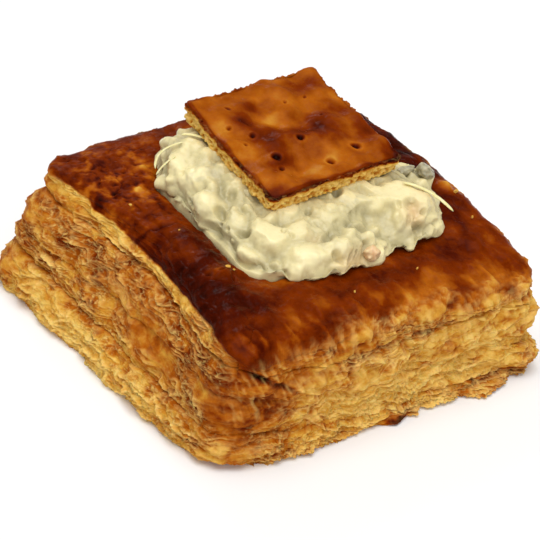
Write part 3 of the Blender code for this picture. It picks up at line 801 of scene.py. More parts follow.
@dataclass
class PastryCase:
    """The case: four slabs of flaky layers and the glazed crust with its well."""

    form: CaseForm = field(default_factory=CaseForm)
    browning: Browning = field(default_factory=Browning)
    finish: BakedPastry = field(default_factory=BakedPastry)
    columns: int = 1300
    rows: int = 66
    crust_columns: int = 920
    crust_rows: tuple[int, int, int, int] = (14, 62, 4, 20)
    names: tuple[str, ...] = ("foot_slab", "lower_slab", "middle_slab", "upper_slab")
    slab_pitch: float = 9.5
    leaf_pitch: float = 1.7
    leaf_depth: float = 0.45
    strands: tuple[tuple[Grain, float, float], ...] = (
        (Grain((14.0, 14.0, 3.2), 27), 0.11, 1.0),
        (Grain((9.0, 9.0, 2.0), 37), 0.13, 0.9),
        (Grain((5.0, 5.0, 1.2), 38), 0.16, 0.3),
    )
    sheet_kinds: tuple[tuple[Grain, float], ...] = (
        (Grain((14.0, 14.0, 5.0), 43), 0.45),
        (Grain((8.0, 8.0, 3.4), 44), 0.35),
        (Grain((4.5, 4.5, 2.4), 45), 0.22),
    )
    front_marks: tuple[Spot, ...] = (
        Spot(-0.5, 0.8, (4.8, 0.8), 1.4, 4.0), Spot(30.0, 0.9, (12.0, 0.8), 1.7),
        Spot(31.0, 2.7, (14.0, 0.8), -1.0), Spot(-43.5, 25.2, (2.8, 0.6), -1.1, -28.0),
        Spot(-36.0, 20.3, (6.0, 0.5), -0.8, -32.0), Spot(-38.0, 27.0, (12.0, 1.6), 0.5, -18.0),
        Spot(17.4, 16.8, (1.4, 0.9), -1.3), Spot(20.8, 14.2, (1.6, 0.8), -1.2),
        Spot(16.0, 27.6, (2.6, 1.2), -0.8, 30.0), Spot(16.0, 29.4, (3.2, 0.7), 0.8, 25.0),
        Spot(2.0, 21.8, (19.0, 0.7), -0.6, 1.5),
    )
    sheet_climb: float = 0.32
    climb_span: tuple[float, float] = (-35.0, -50.0)
    # Pairs named shares are for the walls beside the front one, and for the front one.
    papery_span: tuple[float, float] = (7.0, 18.0)
    flaky_levels: tuple[float, float] = (0.95, 0.50)
    flaky_span: tuple[float, float] = (0.08, 1.3)
    loose_span: tuple[float, float] = (0.2, 0.7)
    sheet_shares: tuple[float, float] = (0.5, 1.0)
    crumple_shares: tuple[float, float] = (0.6, 0.9)
    torn_shares: tuple[float, float] = (0.25, 0.6)
    crease_shade_shares: tuple[float, float] = (0.2, 0.55)
    shaded_shares: tuple[float, float] = (0.3, 0.5)
    strand_depth: float = 0.85
    crumple_depth: float = 1.7
    crust_calm: float = 0.6
    corner_wear: float = 1.2
    foot_crumb: float = 2.2
    smooth_front: tuple[Spot, ...] = (
        Spot(-32.0, 27.0, (14.0, 4.0), 0.5), Spot(10.0, 27.0, (30.0, 4.0), 0.4),
        Spot(-35.0, 20.0, (8.0, 3.0), 0.4), Spot(-44.0, 22.0, (7.0, 7.0), 0.7),
        Spot(-47.0, 9.0, (6.0, 8.0), 0.5), Spot(-0.5, 0.8, (5.0, 1.5), 1.0),
    )
    smooth_left: tuple[Spot, ...] = (
        Spot(-18.0, 16.5, (17.0, 4.0), 0.8), Spot(12.5, 21.5, (6.0, 3.0), 0.7),
        Spot(48.0, 22.0, (9.0, 14.0), 0.7), Spot(-48.0, 18.0, (6.0, 6.0), 0.5),
        Spot(34.0, 29.0, (8.0, 3.0), 0.5), Spot(-47.0, 27.0, (10.0, 4.0), 0.6),
        Spot(-49.0, 9.0, (6.0, 7.0), 0.5), Spot(0.0, 31.2, (55.0, 2.0), 0.28, 2.3),
    )
    crust_marks: tuple[Spot, ...] = (
        Spot(-42.0, 7.0, (8.0, 0.7), -0.9, -22.0), Spot(-36.0, -21.5, (3.2, 2.2), 2.2, 10.0),
        Spot(-35.0, -20.6, (1.6, 0.5), -1.9, 20.0), Spot(-37.8, -23.0, (1.4, 0.5), -1.7, -20.0),
        Spot(-38.6, -20.4, (0.5, 1.4), -1.4, 10.0), Spot(-33.4, -22.8, (1.6, 0.5), -1.3, 60.0),
        Spot(-43.9, 23.8, (1.6, 1.0), -1.4), Spot(-46.6, 8.5, (1.2, 0.8), -1.0),
        Spot(44.4, -12.0, (1.7, 2.4), 2.6), Spot(-33.6, 22.7, (1.5, 0.8), 0.6, 30.0),
        Spot(-27.8, 30.5, (1.5, 0.8), 0.6, 10.0),
    )
    crumbs: tuple[Triple, ...] = (
        (-32.2, -18.5, 0.65), (-31.4, -20.2, 0.35), (45.4, -15.4, 0.6), (42.8, -25.8, 0.35),
        (-34.9, 0.1, 0.4), (14.0, -37.5, 0.3), (-8.0, -39.5, 0.3), (-40.0, 16.0, 0.35),
        (36.0, 6.0, 0.5), (20.0, 38.0, 0.5),
    )
    # The grain of the wall: its patches, the layers' wander, their leaves, folds and crumb.
    loose_patches: Grain = Grain((14.0, 14.0, 7.0), 31, 2, 0.40)
    crumb_fields: tuple[tuple[str, float], ...] = (
        ("bake", 0.36), ("pale", 0.08), ("recess_shade", 0.0), ("glaze", 0.0), ("flaky", 0.2),
    )
    bridges: Grain = Grain((15.0, 15.0, 9.0), 39, 1, 0.9)
    warps: tuple[Grain, Grain] = (
        Grain((8.0, 8.0, 4.0), 25, 1, 2.0),
        Grain((8.0, 8.0, 4.0), 32, 1, 2.0),
    )
    wave: Grain = Grain((8.0, 8.0, 4.0), 26)
    wave_depths: tuple[float, float] = (1.1, 1.5)
    ripple: Grain = Grain((2.0, 2.0, 1.2), 33, 1, 0.2)
    strand_patches: Grain = Grain((8.0, 8.0, 4.0), 50, 1, 0.9)
    leaf_reach: Grain = Grain((8.0, 8.0, 1.0), 23)
    leaf_tears: Grain = Grain((1.8, 1.8, 1.0), 24, 1, 0.35)
    leaf_step: float = 5.37
    fold: Grain = Grain((11.0, 11.0, 6.0), 34)
    pucker: Grain = Grain((5.0, 5.0, 2.6), 35)
    drape: Grain = Grain((1.5, 1.5, 8.0), 28, 2)
    drape_depth: float = 0.22
    crumb: Grain = Grain((0.9, 0.9, 0.7), 29, 3)
    crumb_depth: float = 0.16
    swell: Grain = Grain((10.0, 10.0, 6.0), 30, 2, 0.45)
    torn_patches: Grain = Grain((6.0, 6.0, 4.0), 46, 1, 1.2)
    hollow_shade_patches: Grain = Grain((6.0, 6.0, 3.0), 36, 2, 0.5)
    # The crust: where its egg wash is thin, and the grain of its surface.
    dull_corner: Spot = Spot(-40.0, 30.0, (16.0, 18.0), 0.75)
    wash: Grain = Grain((6.0, 6.0, 6.0), 63, 2, 0.25)
    crust_blisters: Grain = Grain((7.0, 7.0, 7.0), 51, 2, 0.5)
    crust_bubbles: Grain = Grain((2.0, 2.0, 2.0), 52, 2, 0.14)
    crust_creases: Grain = Grain((9.0, 9.0, 9.0), 53, 2)
    crust_mottle: Grain = Grain((1.6, 1.6, 1.6), 54, 2, 0.3)
    # Behind the faces: how thick the crust is, and the rings that close the slabs and the crust.
    skin: float = 2.0
    inward: tuple[float, ...] = (0.15, 0.5, 1.0)
    under: tuple[tuple[float, float], ...] = ((0.0, 1.0), (0.5, 1.0), (0.97, 0.3))
    disc_level: float = 8.0

    def build(self) -> list[Piece]:
        """Build and dress the four slabs, the crust and the crumbs on it.

        Returns:
            The case's pieces.
        """
        material = self.finish.material()
        pieces = [self.slab(index) for index in range(TOP_SLAB + 1)]
        pieces += [self.crust(), self.crumb_piece()]
        for piece in pieces:
            piece.data.materials.append(material)
            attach(piece, "root")
            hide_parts("pastry_case")
        return pieces

    def flakiness(self, points: Array, normal: Array) -> Array:
        """How far the layers have come apart: least on the front wall and on smooth patches."""
        x, y, z = np.moveaxis(points, -1, 0)
        front, left = np.maximum(0.0, -normal[..., 1]), np.maximum(0.0, -normal[..., 0])
        smooth = front * all_spots(self.smooth_front, x, z) + left * all_spots(self.smooth_left, y, z)
        patch = self.loose_patches.at(x, y, z)
        level = blend(*self.flaky_levels, self.papery(front, z))
        return np.clip(level + patch - smooth, *self.flaky_span)

    def papery(self, front: Array, height: Array) -> Array:
        """How papery the wall is: from 0 to 1 up the front wall, and 0 elsewhere."""
        return front * ease(*self.papery_span, height)

    def slab(self, index: int) -> Piece:
        """One slab of layers: a ring with its flaky outer face."""
        form = self.form
        share = np.arange(self.columns) / self.columns
        share, rise = np.meshgrid(share, np.linspace(0.0, 1.0, self.rows))
        points, normal = form.wall(share, index, rise)
        level = self.slab_pitch * (index + rise)
        relief, droop, pale, recess_shade, flaky = self.lamination(points, normal, level)
        bake = self.browning.of_slab(share, index, rise) + self.browning.of_wall(points, normal)
        crusted = self.browning.crusted(share, points, form)
        bake = blend(bake, self.browning.of_crust(points), crusted)
        out = relief * (1 - self.crust_calm * crusted)
        out = out + form.groove(share, index, rise) * self.bridging(points, normal)
        droop = droop * ease(0.0, 3.0, points[..., 2]) * (1 - crusted)
        face = points.copy()
        face[..., :2] += normal * out[..., None]
        face[..., 2] = np.maximum(points[..., 2] - droop, 0.0)
        inner = self.inner_rings(face, share[0], index)
        rings = np.concatenate([face, inner])
        spare = np.zeros(inner.shape[:2])
        bare = 1 - crusted
        fields = {
            "bake": np.concatenate([bake, spare + 0.5]),
            "pale": np.concatenate([pale * bare, spare]),
            "recess_shade": np.concatenate([recess_shade * (1 - 0.6 * crusted), spare + 1.0]),
            "glaze": np.concatenate([crusted, spare]),
            "flaky": np.concatenate([flaky * bare, spare]),
        }
        ends = Ends.JOINED if index else Ends.CAPPED
        return Loft(self.names[index], rings, ends, fields).build()

    def crumb_piece(self) -> Piece:
        """Loose crumbs of pastry, lying on the crust."""
        chips = []
        for index, (x, y, size) in enumerate(self.crumbs):
            height = self.form.crust_height(x, y) + self.form.dome
            turn = (40.0 * index, 25.0 * index, 70.0 * index)
            chips.append(chip((size, 0.7 * size, 0.5 * size), turn, np.array((x, y, height)), index))
        crumbs = join("crumbs", chips)
        for name, amount in self.crumb_fields:
            attribute = crumbs.data.attributes.new(name, "FLOAT", "POINT")
            attribute.data.foreach_set("value", np.full(len(crumbs.data.vertices), amount, np.float32))
        return crumbs

    def bridging(self, points: Array, normal: Array) -> Array:
        """How much of the grooves the papery layers hide: most of them on the front wall."""
        x, y, z = np.moveaxis(points, -1, 0)
        patch = np.clip(0.5 + self.bridges.at(x, y, z), 0.0, 1.0)
        return patch * blend(0.35, 1.0, np.maximum(0.0, -normal[..., 1]))

    def inner_rings(self, face: Array, share: Array, index: int) -> Array:
        """The rings that close a slab behind its face, from its top edge round to its foot.

        The foot slab is a whole disc, so its rings stop at a level one under the well.
        """
        form = self.form
        behind, _ = square_ring(share, form.well_half + self.skin + 1, form.well_corner)
        rings = []
        for inward in self.inward:
            plan = blend(face[-1, :, :2], behind, inward)
            level = face[-1, :, 2] if index else blend(face[-1, :, 2], self.disc_level, inward)
            rings.append(stack(*plan.T, level))
        if index:
            for inward in reversed(self.inward):
                plan = blend(face[0, :, :2], behind, inward)
                rings.append(stack(*plan.T, face[0, :, 2]))
        return np.array(rings)

    def lamination(self, points: Array, normal: Array, level: Array) -> tuple[Array, ...]:
        """The relief of the layers on the wall.

        Args:
            points: the plain face, rows by columns.
            normal: its level normals.
            level: how far up the layers each point lies, in mm.

        Returns:
            How far the face stands out, how far it droops, how pale, how much painted shade darkens its
            hollows, creases and grooves, and how flaky it is.
        """
        x, y, z = np.moveaxis(points, -1, 0)
        flaky = self.flakiness(points, normal)
        front = np.maximum(0.0, -normal[..., 1])
        papery = self.papery(front, z)
        warp_x, warp_y = x + self.warps[0].at(x, y, z), y + self.warps[1].at(x, y, z)
        wave = blend(*self.wave_depths, front) * self.wave.at(x, y, z) + self.ripple.at(x, y, z)
        warp_z = level + wave
        climb = self.sheet_climb * (x + self.form.half) * ease(*self.climb_span, y)
        strands = self.strands_at(stack(x, y, z), stack(warp_x, warp_y, warp_z))
        leaf = self.leaf_at(x, y, warp_z)
        fold = np.hypot(self.fold.at(warp_x, warp_y, warp_z - climb), 0.10)
        pucker = np.hypot(self.pucker.at(warp_x, warp_y, warp_z), 0.16)
        crease = np.maximum(0.8 * bell(fold - 0.1, 0.14), 0.35 * bell(pucker - 0.16, 0.10))
        drape = self.drape.at(x + 0.4 * z, y, z) * (0.3 + papery)
        crumb = self.crumb.at(x, y, z) * (1 + 0.9 * front - 0.6 * papery)
        ragged = blend(self.foot_crumb, 1.0, ease(3.0, self.slab_pitch, level))
        marks = front * all_spots(self.front_marks, x, z)
        places = ((x + warp_x) / 2, (y + warp_y) / 2, z + 0.5 * wave - climb)
        lift, torn, shaded = self.sheets(*places)
        loose = ease(*self.loose_span, flaky + 0.2 * papery)
        torn = torn * loose * np.clip(0.3 + self.torn_patches.at(x, y, z), 0.0, 1.0)
        out = flaky * (self.leaf_depth * (leaf - 0.25) + self.strand_depth * (strands - 0.25))
        out = out + blend(*self.sheet_shares, front) * loose * (lift - 0.5) + marks
        crumple = self.crumple_depth * (0.8 * fold + 0.3 * pucker - 0.35)
        out = out + blend(*self.crumple_shares, front) * crumple
        out = out + self.swell.at(x, y, z) + self.drape_depth * drape
        out = out + self.crumb_depth * ragged * crumb * np.clip(flaky, 0.3, 1.0)
        out = out - self.corner_wear * 2 * np.abs(normal[..., 0] * normal[..., 1])
        droop = 0.5 * self.leaf_depth * leaf * flaky
        pale = np.clip(flaky, 0.0, 1.0) * np.clip(0.6 * strands + 0.35 * leaf - 0.1, 0.0, 0.7)
        pale = np.maximum(pale, blend(*self.torn_shares, front) * torn)
        pale = pale + 0.3 * papery * np.clip(drape, 0.0, 1.0)
        # Painted shade: darker in the hollows between leaves and strands, along creases, under torn
        # sheets, in the marks' grooves and in the drape's troughs.
        hollow = np.clip(1.0 - 0.6 * leaf - 1.6 * strands, 0.0, 1.0) * np.clip(flaky, 0.15, 1.0)
        recess_shade = hollow * np.clip(0.55 + self.hollow_shade_patches.at(x, y, z), 0.0, 1.0)
        recess_shade = np.maximum(recess_shade, crease * blend(*self.crease_shade_shares, front))
        recess_shade = recess_shade + blend(*self.shaded_shares, front) * shaded * loose
        recess_shade = recess_shade + np.clip(-0.6 * marks, 0.0, 0.8)
        recess_shade = recess_shade - 0.25 * papery * np.minimum(drape, 0.0)
        return out, droop, pale, np.clip(recess_shade, 0.0, 1.0), flaky

    def strands_at(self, points: Array, warped: Array) -> Array:
        """How high the strands of pulled pastry stand here, from 0 to about 1.

        Args:
            points: places on the wall.
            warped: the same places, moved so that the strands wander.
        """
        strands = np.zeros(points.shape[:-1])
        for grain, width, height in self.strands:
            patches = replace(self.strand_patches, seed=self.strand_patches.seed + grain.seed)
            patch = np.clip(0.6 + patches.at(*np.moveaxis(points, -1, 0)), 0.0, 1.2)
            web = grain.ridges(*np.moveaxis(warped, -1, 0), width)
            strands = np.maximum(strands, height * patch * web)
        return strands

    def leaf_at(self, x: Array, y: Array, level: Array) -> Array:
        """How far the thin leaves reach out at this level of the layers, from 0 to about 1."""
        layer, part = np.divmod(level / self.leaf_pitch, 1.0)
        reach = 0.35 + self.leaf_reach.at(x, y, layer * self.leaf_step)
        reach = np.clip(reach + self.leaf_tears.at(x, y, layer * self.leaf_step), 0.0, 1.3)
        edge = 0.6 * bell(np.maximum(part - 0.18, 0.0), 0.16) + 0.4 * (1 - part)
        return reach * ease(0.0, 0.14, part) * edge

    def sheets(self, x: Array, y: Array, z: Array) -> tuple[Array, Array, Array]:
        """Torn papery sheets that lie over the wall.

        Returns:
            How far they lift each point, how near it is to a torn edge, and how near under one, where
            shade is painted.
        """
        lift, torn, shaded = (np.zeros(x.shape) for _ in range(3))
        for grain, height in self.sheet_kinds:
            value = grain.at(x, y, z)
            lift = lift + height * ease(0.0, 0.10, value)
            torn = np.maximum(torn, bell(value - 0.10, 0.08))
            shaded = np.maximum(shaded, bell(value + 0.02, 0.06))
        return lift, torn, shaded

    def over(self, values: Array) -> tuple[Array, Array]:
        """A grid of the places round the crust, and of these values, a row for each."""
        return tuple(np.meshgrid(np.arange(self.crust_columns) / self.crust_columns, values))

    def crust(self) -> Piece:
        """The crust: it rounds over the shoulder, crosses to the rim and lines the well."""
        form = self.form
        on_shoulder, on_top, on_rim, in_well = self.crust_rows
        turn = np.linspace(0.0, 1.0, on_shoulder, endpoint=False)
        inward = np.linspace(0.0, 1.0, on_top)
        rim = np.linspace(0.0, 1.0, on_rim + 2)[1:-1]
        sunk = np.linspace(0.0, 1.0, in_well)
        top = np.concatenate([
            form.shoulder(*self.over(turn)),
            form.crust(*self.over(inward)),
            form.rim(*self.over(rim)),
            form.well(*self.over(sunk)),
        ])
        share, row = self.over(np.arange(len(top)))
        on_crust = on_shoulder + on_top
        inside = ease(on_crust, on_crust + 8, row)
        relief, recess_shade = self.crust_relief(top)
        _, normal = square_ring(share, form.half, form.corner)
        crusted = self.browning.crusted(share, top, form)
        level = self.slab_pitch * (TOP_SLAB + 1) + top[..., 2] - top[0, :, 2]
        layers, _, pale, wall_recess_shade, flaky = self.lamination(top, normal, level)
        wall_share = 1 - ease(0.3 * on_shoulder, 1.8 * on_shoulder, row)
        relief = blend(relief, layers * (1 - self.crust_calm * crusted), wall_share) * (1 - inside)
        surface = top + surface_normals(top) * relief[..., None]
        wall = self.browning.of_slab(share, TOP_SLAB, np.ones_like(share))
        wall = wall + self.browning.of_wall(top, normal)
        bake = blend(wall, self.browning.of_crust(top), crusted)
        under = self.under_rings(surface[0])
        rings = np.concatenate([under, surface])
        hidden = np.zeros(under.shape[:2])
        bare = wall_share * (1 - crusted)
        fields = {
            "bake": np.concatenate([hidden, blend(bake, 0.7, inside)]),
            "pale": np.concatenate([hidden, pale * bare]),
            "recess_shade": np.concatenate([hidden, blend(recess_shade, wall_recess_shade * (1 - 0.6 * crusted), wall_share)]),
            "glaze": np.concatenate([hidden, crusted * (1 - inside) * self.glazed(top)]),
            "flaky": np.concatenate([hidden, flaky * bare]),
        }
        return Loft("crust", rings, Ends.CAPPED, fields).build()

    def under_rings(self, outer: Array) -> Array:
        """The crust's underside, from below the well's floor out to the shoulder."""
        form = self.form
        share = np.arange(self.crust_columns) / self.crust_columns
        plan, _ = square_ring(share, form.well_half + self.skin, form.well_corner)
        plan = plan + np.array(form.well_shift)
        floor = stack(*plan.T, form.well_floor - self.skin / 2)
        rings = [floor]
        for outward, depth in self.under:
            place = blend(plan, outer[:, :2], outward)
            rings.append(stack(*place.T, outer[:, 2] - depth))
        return np.array(rings)

    def glazed(self, points: Array) -> Array:
        """How much egg wash lies on the crust: little on the mottled back-left corner."""
        x, y, z = np.moveaxis(points, -1, 0)
        return np.clip(1.0 - self.dull_corner.at(x, y) + self.wash.at(x, y, z), 0.0, 1.0)

    def crust_relief(self, points: Array) -> tuple[Array, Array]:
        """The crust's blisters, wrinkles and cracks, and the painted shade in its creases, dents and
        low places.
        """
        x, y, z = np.moveaxis(points, -1, 0)
        matt = 1 - self.glazed(points)
        bumps = self.crust_blisters.at(x, y, z) + self.crust_bubbles.at(x, y, z)
        crease = self.crust_creases.ridges(x, y, z, 0.05) * (0.1 + matt)
        mottle = self.crust_mottle.at(x, y, z) * matt
        marks = all_spots(self.crust_marks, x, y)
        sheets = 0.5 * self.browning.folds(x, y, z) + 0.6 * self.browning.panel(x, y)
        relief = bumps + sheets - 0.35 * crease + mottle + marks
        return relief, np.clip(0.6 * crease - 2.5 * mottle - 0.5 * marks, 0.0, 1.0)


@dataclass(frozen=True)
class LidForm:
    """The plain form of the lid, as the solid has it."""

    half: float = 21.4
    corner: float = 1.8
    thickness: float = 4.4
    centre: Triple = (3.6, 7.2, 54.0)
    turn: Triple = (11.5, -4.5, 0.7)
    edge: Swell = Swell(9.0, 0.5, 17)
    swell: Swell = Swell(12.0, 0.8, 19)

    def axes(self) -> Array:
        """The lid's own axes as the columns of a matrix."""
        return np.array(Euler([math.radians(angle) for angle in self.turn]).to_matrix())

    def underside(self, x: Array, y: Array) -> Array:
        """Height of the plane of the lid's underside over these places."""
        up = self.axes()[:, 2]
        below = np.array(self.centre) - up * self.thickness
        return below[2] - (up[0] * (x - below[0]) + up[1] * (y - below[1])) / up[2]

    def plate(self, share: Array, size: Array, level: Array) -> Array:
        """Points of the lid in its own frame, whose origin is the middle of its top."""
        point, normal = square_ring(share, self.half, self.corner)
        wavy = self.edge.at(point[..., 0], point[..., 1], np.zeros_like(share))
        plan = (point + normal * wavy[..., None]) * size[..., None]
        swell = self.swell.at(plan[..., 0], plan[..., 1], np.zeros_like(share)) * level
        return stack(plan[..., 0], plan[..., 1], self.thickness * (level - 1) + swell)

    def placed(self, points: Array) -> Array:
        """Points of the lid's own frame, in the frame of the whole."""
        return points @ self.axes().T + np.array(self.centre)


@dataclass
class Lid:
    """The lid: a glazed top with docking holes, a dark rim and a bare layered side."""

    form: LidForm = field(default_factory=LidForm)
    finish: BakedPastry = field(default_factory=BakedPastry)
    columns: int = 520
    thicker: float = 1.1
    top_bake: float = 0.65
    patch_share: float = 1.15
    rim_bake: float = 0.14
    hole_bake_and_shade: float = 0.24
    side_bake: tuple[float, float] = (0.33, 0.12)
    hole_radius: float = 0.85
    hole_depth: float = 1.1
    bubbles: Grain = Grain((9.0, 9.0, 9.0), 71, 2, 1.1)
    pimples: Grain = Grain((1.5, 1.5, 1.5), 72, 2, 0.05)
    layers: Grain = Grain((6.0, 6.0, 1.1), 73, 2)
    crumb: Grain = Grain((1.1, 1.1, 1.1), 74, 3)
    dents: Grain = Grain((3.0, 3.0, 3.0), 76, 1, 0.35)
    tint: Grain = Grain((6.0, 6.0, 6.0), 75, 3, 0.06)
    holes: tuple[Triple, ...] = (
        (-11.8, 14.1, 0.7), (-15.9, 7.2, 0.6), (-11.5, 2.4, 0.7), (-15.3, -0.1, 0.5),
        (4.4, 10.3, 0.5), (11.1, 10.3, 0.5), (-0.8, -4.3, 1.0), (-11.1, -7.9, 1.15),
        (-12.1, -12.2, 0.7), (2.1, -14.5, 1.0), (12.2, -12.1, 1.15), (10.8, 2.0, 0.4),
    )
    patches: tuple[Spot, ...] = (
        Spot(-8.0, -1.5, (5.0, 4.4), 0.17), Spot(-10.7, -9.2, (3.4, 3.2), 0.17),
        Spot(8.0, -4.0, (5.5, 4.0), 0.15), Spot(8.6, 1.4, (4.6, 3.6), 0.11),
        Spot(1.0, -1.6, (4.6, 3.4), 0.10), Spot(-11.0, 8.0, (3.6, 3.4), 0.16),
        Spot(-5.0, 13.0, (3.6, 3.0), 0.10), Spot(-2.0, 7.0, (4.0, 2.0), -0.12, 20.0),
        Spot(-17.5, 5.0, (3.0, 7.0), -0.08), Spot(6.0, -14.1, (5.0, 3.0), -0.06),
        Spot(-6.6, -16.2, (6.0, 2.4), -0.06), Spot(-19.0, -14.5, (2.4, 4.0), -0.04),
        Spot(-19.0, -19.0, (4.0, 3.0), 0.12), Spot(19.0, -5.0, (3.0, 8.0), 0.12),
        Spot(18.0, -19.0, (4.0, 4.0), 0.12), Spot(6.6, 11.0, (6.0, 4.0), -0.04),
        Spot(-13.0, -3.0, (3.0, 3.0), -0.03), Spot(14.0, 14.0, (6.0, 5.0), 0.08),
    )

    def build(self, pastry: bpy.types.Material) -> list[Piece]:
        """Build and dress the lid.

        Args:
            pastry: the case's material.

        Returns:
            The lid, as a list of one piece.
        """
        section = self.section()
        share, size = np.meshgrid(np.arange(self.columns) / self.columns, section[:, 0])
        level = np.broadcast_to(section[:, 1:2], share.shape)
        flat = self.form.plate(share, size, level)
        flat[..., 2] -= self.thicker * (1 - level)
        x, y, z = np.moveaxis(flat, -1, 0)
        top = ease(0.93, 1.0, level)
        side = (1 - top) * ease(0.9, 0.97, size) * ease(0.0, 0.06, level)
        hole = sum(self.hole_at(x, y, place) for place in self.holes)
        bubbles = self.bubbles.at(x, y, z) + self.pimples.at(x, y, z)
        layers, crumb = self.layers.at(x, y, z), self.crumb.at(x, y, z)
        relief = top * (bubbles - self.hole_depth * np.clip(hole, 0.0, 1.0))
        relief = relief + side * (0.06 * layers + 0.40 * crumb + self.dents.at(x, y, z))
        surface = flat + surface_normals(flat) * relief[..., None]
        edge = bell(np.maximum(0.0, 0.965 - size), 0.025) * ease(0.72, 0.9, level)
        rim = edge * (1 - 0.9 * ease(-19.0, -13.0, np.minimum(x, y)))
        bake = self.top_bake + self.patch_share * all_spots(self.patches, x, y) + self.tint.at(x, y, z)
        # Darker in the docking holes: browning, with painted shade in their depth.
        bake = bake + self.rim_bake * rim + self.hole_bake_and_shade * hole
        bare_bake = self.side_bake[0] - self.side_bake[1] * crumb
        browned = np.maximum(top, ease(0.5, 0.8, level) * edge)
        bare = side * (1 - ease(0.6, 0.8, level))
        fields = {
            "bake": blend(bare_bake, bake, browned),
            "pale": bare * np.clip(0.14 + 0.4 * crumb, 0.0, 0.6),
            # Painted shade: darker in the side's low crumbs and in the docking holes.
            "recess_shade": side * np.clip(-0.15 * layers - 0.5 * crumb, 0.0, 0.6) + 0.6 * top * hole,
            "glaze": top,
            "flaky": 0.3 * side,
        }
        piece = Loft("glazed_lid", self.form.placed(surface), Ends.CAPPED, fields).build()
        piece.data.materials.append(pastry)
        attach(piece, "root")
        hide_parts("lid")
        return [piece]

    def section(self) -> Array:
        """Half the lid's section, from its underside round to the middle of its top.

        Returns:
            Rows of a share of the half width and a share of the height.
        """
        knots = np.array((
            (0.30, 0.0), (0.70, 0.0), (0.95, 0.0), (0.985, 0.20), (0.96, 0.45), (0.99, 0.65),
            (1.0, 0.88), (0.975, 1.0), (0.85, 1.01), (0.65, 1.02), (0.40, 1.02), (0.18, 1.02),
            (0.02, 1.02),
        ))
        spread = (2, 4, 6, 8, 8, 8, 8, 6, 10, 12, 14, 12, 8)
        rows = [
            np.linspace(start, end, count, endpoint=False)
            for start, end, count in zip(knots, knots[1:], spread)
        ]
        return np.concatenate(rows + [knots[-1:]])

    def hole_at(self, x: Array, y: Array, place: Triple) -> Array:
        """How deep one docking hole is here, with a faint raised lip round it.

        Args:
            x, y: the points, in the lid's own frame.
            place: the hole's middle, and how large it is against the usual one.

        Returns:
            About 1 in the middle of a usual hole, and 0 away from it.
        """
        far = np.hypot(x - place[0], y - place[1]) / (self.hole_radius * place[2])
        return place[2] * (bell(far, 1.0) - 0.15 * bell(far - 1.9, 0.5))


@dataclass(frozen=True)
class HeapForm:
    """The plain form of the heap of filling, as the solid has it."""

    case: CaseForm = CaseForm()
    lid: LidForm = LidForm()
    corner: float = 10.0
    spread: tuple[Triple, ...] = (
        (0.08, 0.05, 5.0), (0.15, 0.05, 2.6), (0.25, 0.05, 4.6),
        (0.325, 0.05, 8.0), (0.723, 0.045, 3.6), (0.84, 0.04, 1.6),
    )
    lift: float = 0.9
    fullness: float = 1.18
    squareness: float = 2.6
    steepness: float = 0.6
    lumps_fade: float = 0.35
    overhang: float = 0.8
    gap: float = 0.3
    chunks: tuple[tuple[float, float, float, float], ...] = (
        (26, -21, 8, 2.8), (36, -12, 4.5, 3.6), (-21, 22, 6, 2.5), (-23, 2, 4.5, 1.8),
        (-12, -26, 6, 2.0), (3, -30, 4.5, 2.2), (12, -24, 4.5, -1.2), (-24, -14, 4, 1.0),
    )
    edge: Swell = Swell(7.0, 0.9, 11)
    lumps: Swell = Swell(9.0, 1.7, 13)

    def outline(self, share: Array) -> Array:
        """Plan of the heap's widest ring."""
        point, normal = square_ring(share, self.case.well_half, self.corner)
        out = self.edge.at(point[..., 0], point[..., 1], np.zeros_like(share))
        for place, reach, size in self.spread:
            out = out + size * bell((share - place + 0.5) % 1.0 - 0.5, reach)
        return point + normal * out[..., None]

    def top(self, share: Array, size: Array) -> Array:
        """Points of the heap's top, size 1 at its outline and 0 at its middle."""
        outline = self.outline(share)
        plan = outline * size[..., None]
        x, y = plan[..., 0], plan[..., 1]
        foot = self.case.crust_height(outline[..., 0], outline[..., 1]) + self.case.dome + self.lift
        crest = self.lid.underside(x, y)
        inside = np.maximum(0.0, 1 - size**self.squareness)
        full = np.minimum(1.0, self.fullness * inside**self.steepness)
        lumps = self.lumps.at(x, y, size * self.case.well_half)
        for chunk_x, chunk_y, radius, rise in self.chunks:
            lumps = lumps + rise * bell(np.hypot(x - chunk_x, y - chunk_y), radius)
        height = blend(foot, crest, full) + lumps * ease(0.0, self.lumps_fade, full)
        return stack(x, y, np.minimum(height, crest - self.gap))

    def plug(self, share: Array, sunk: Array) -> Array:
        """Points of the filling inside the well, clear of its wall and floor."""
        return self.case.well(share, sunk, -self.gap) + stack(0 * sunk, 0 * sunk, self.gap * sunk)

    def below(self, share: Array, outward: Array) -> Array:
        """Points of the heap's underside, from just above the well's rim towards its outline."""
        neck, edge = self.plug(share, 0 * share), self.top(share, np.ones_like(share))
        plan = blend(neck[..., :2], edge[..., :2], outward[..., None])
        over_crust = self.case.crust_height(plan[..., 0], plan[..., 1]) + self.case.dome + self.lift / 2
        neck_height = neck[..., 2] + self.case.rim_round + self.gap
        return stack(plan[..., 0], plan[..., 1], blend(neck_height, over_crust, outward))


@dataclass(frozen=True)
class Bit:
    """A morsel in the heap: its place in plan, its size, its turn and how far it stands out."""

    x: float
    y: float
    size: Triple
    turn: Triple
    proud: float


@dataclass(frozen=True)
class Shred:
    """A shred of cheese: its radius, and the start, middle and end of the curve it follows."""

    radius: float
    knots: tuple[Triple, ...]


@dataclass(frozen=True)
class Lumps:
    """One kind of lump in the heap: how many, how thick, how many times longer, and how high."""

    count: int
    radius: tuple[float, float]
    longer: tuple[float, float]
    height: float


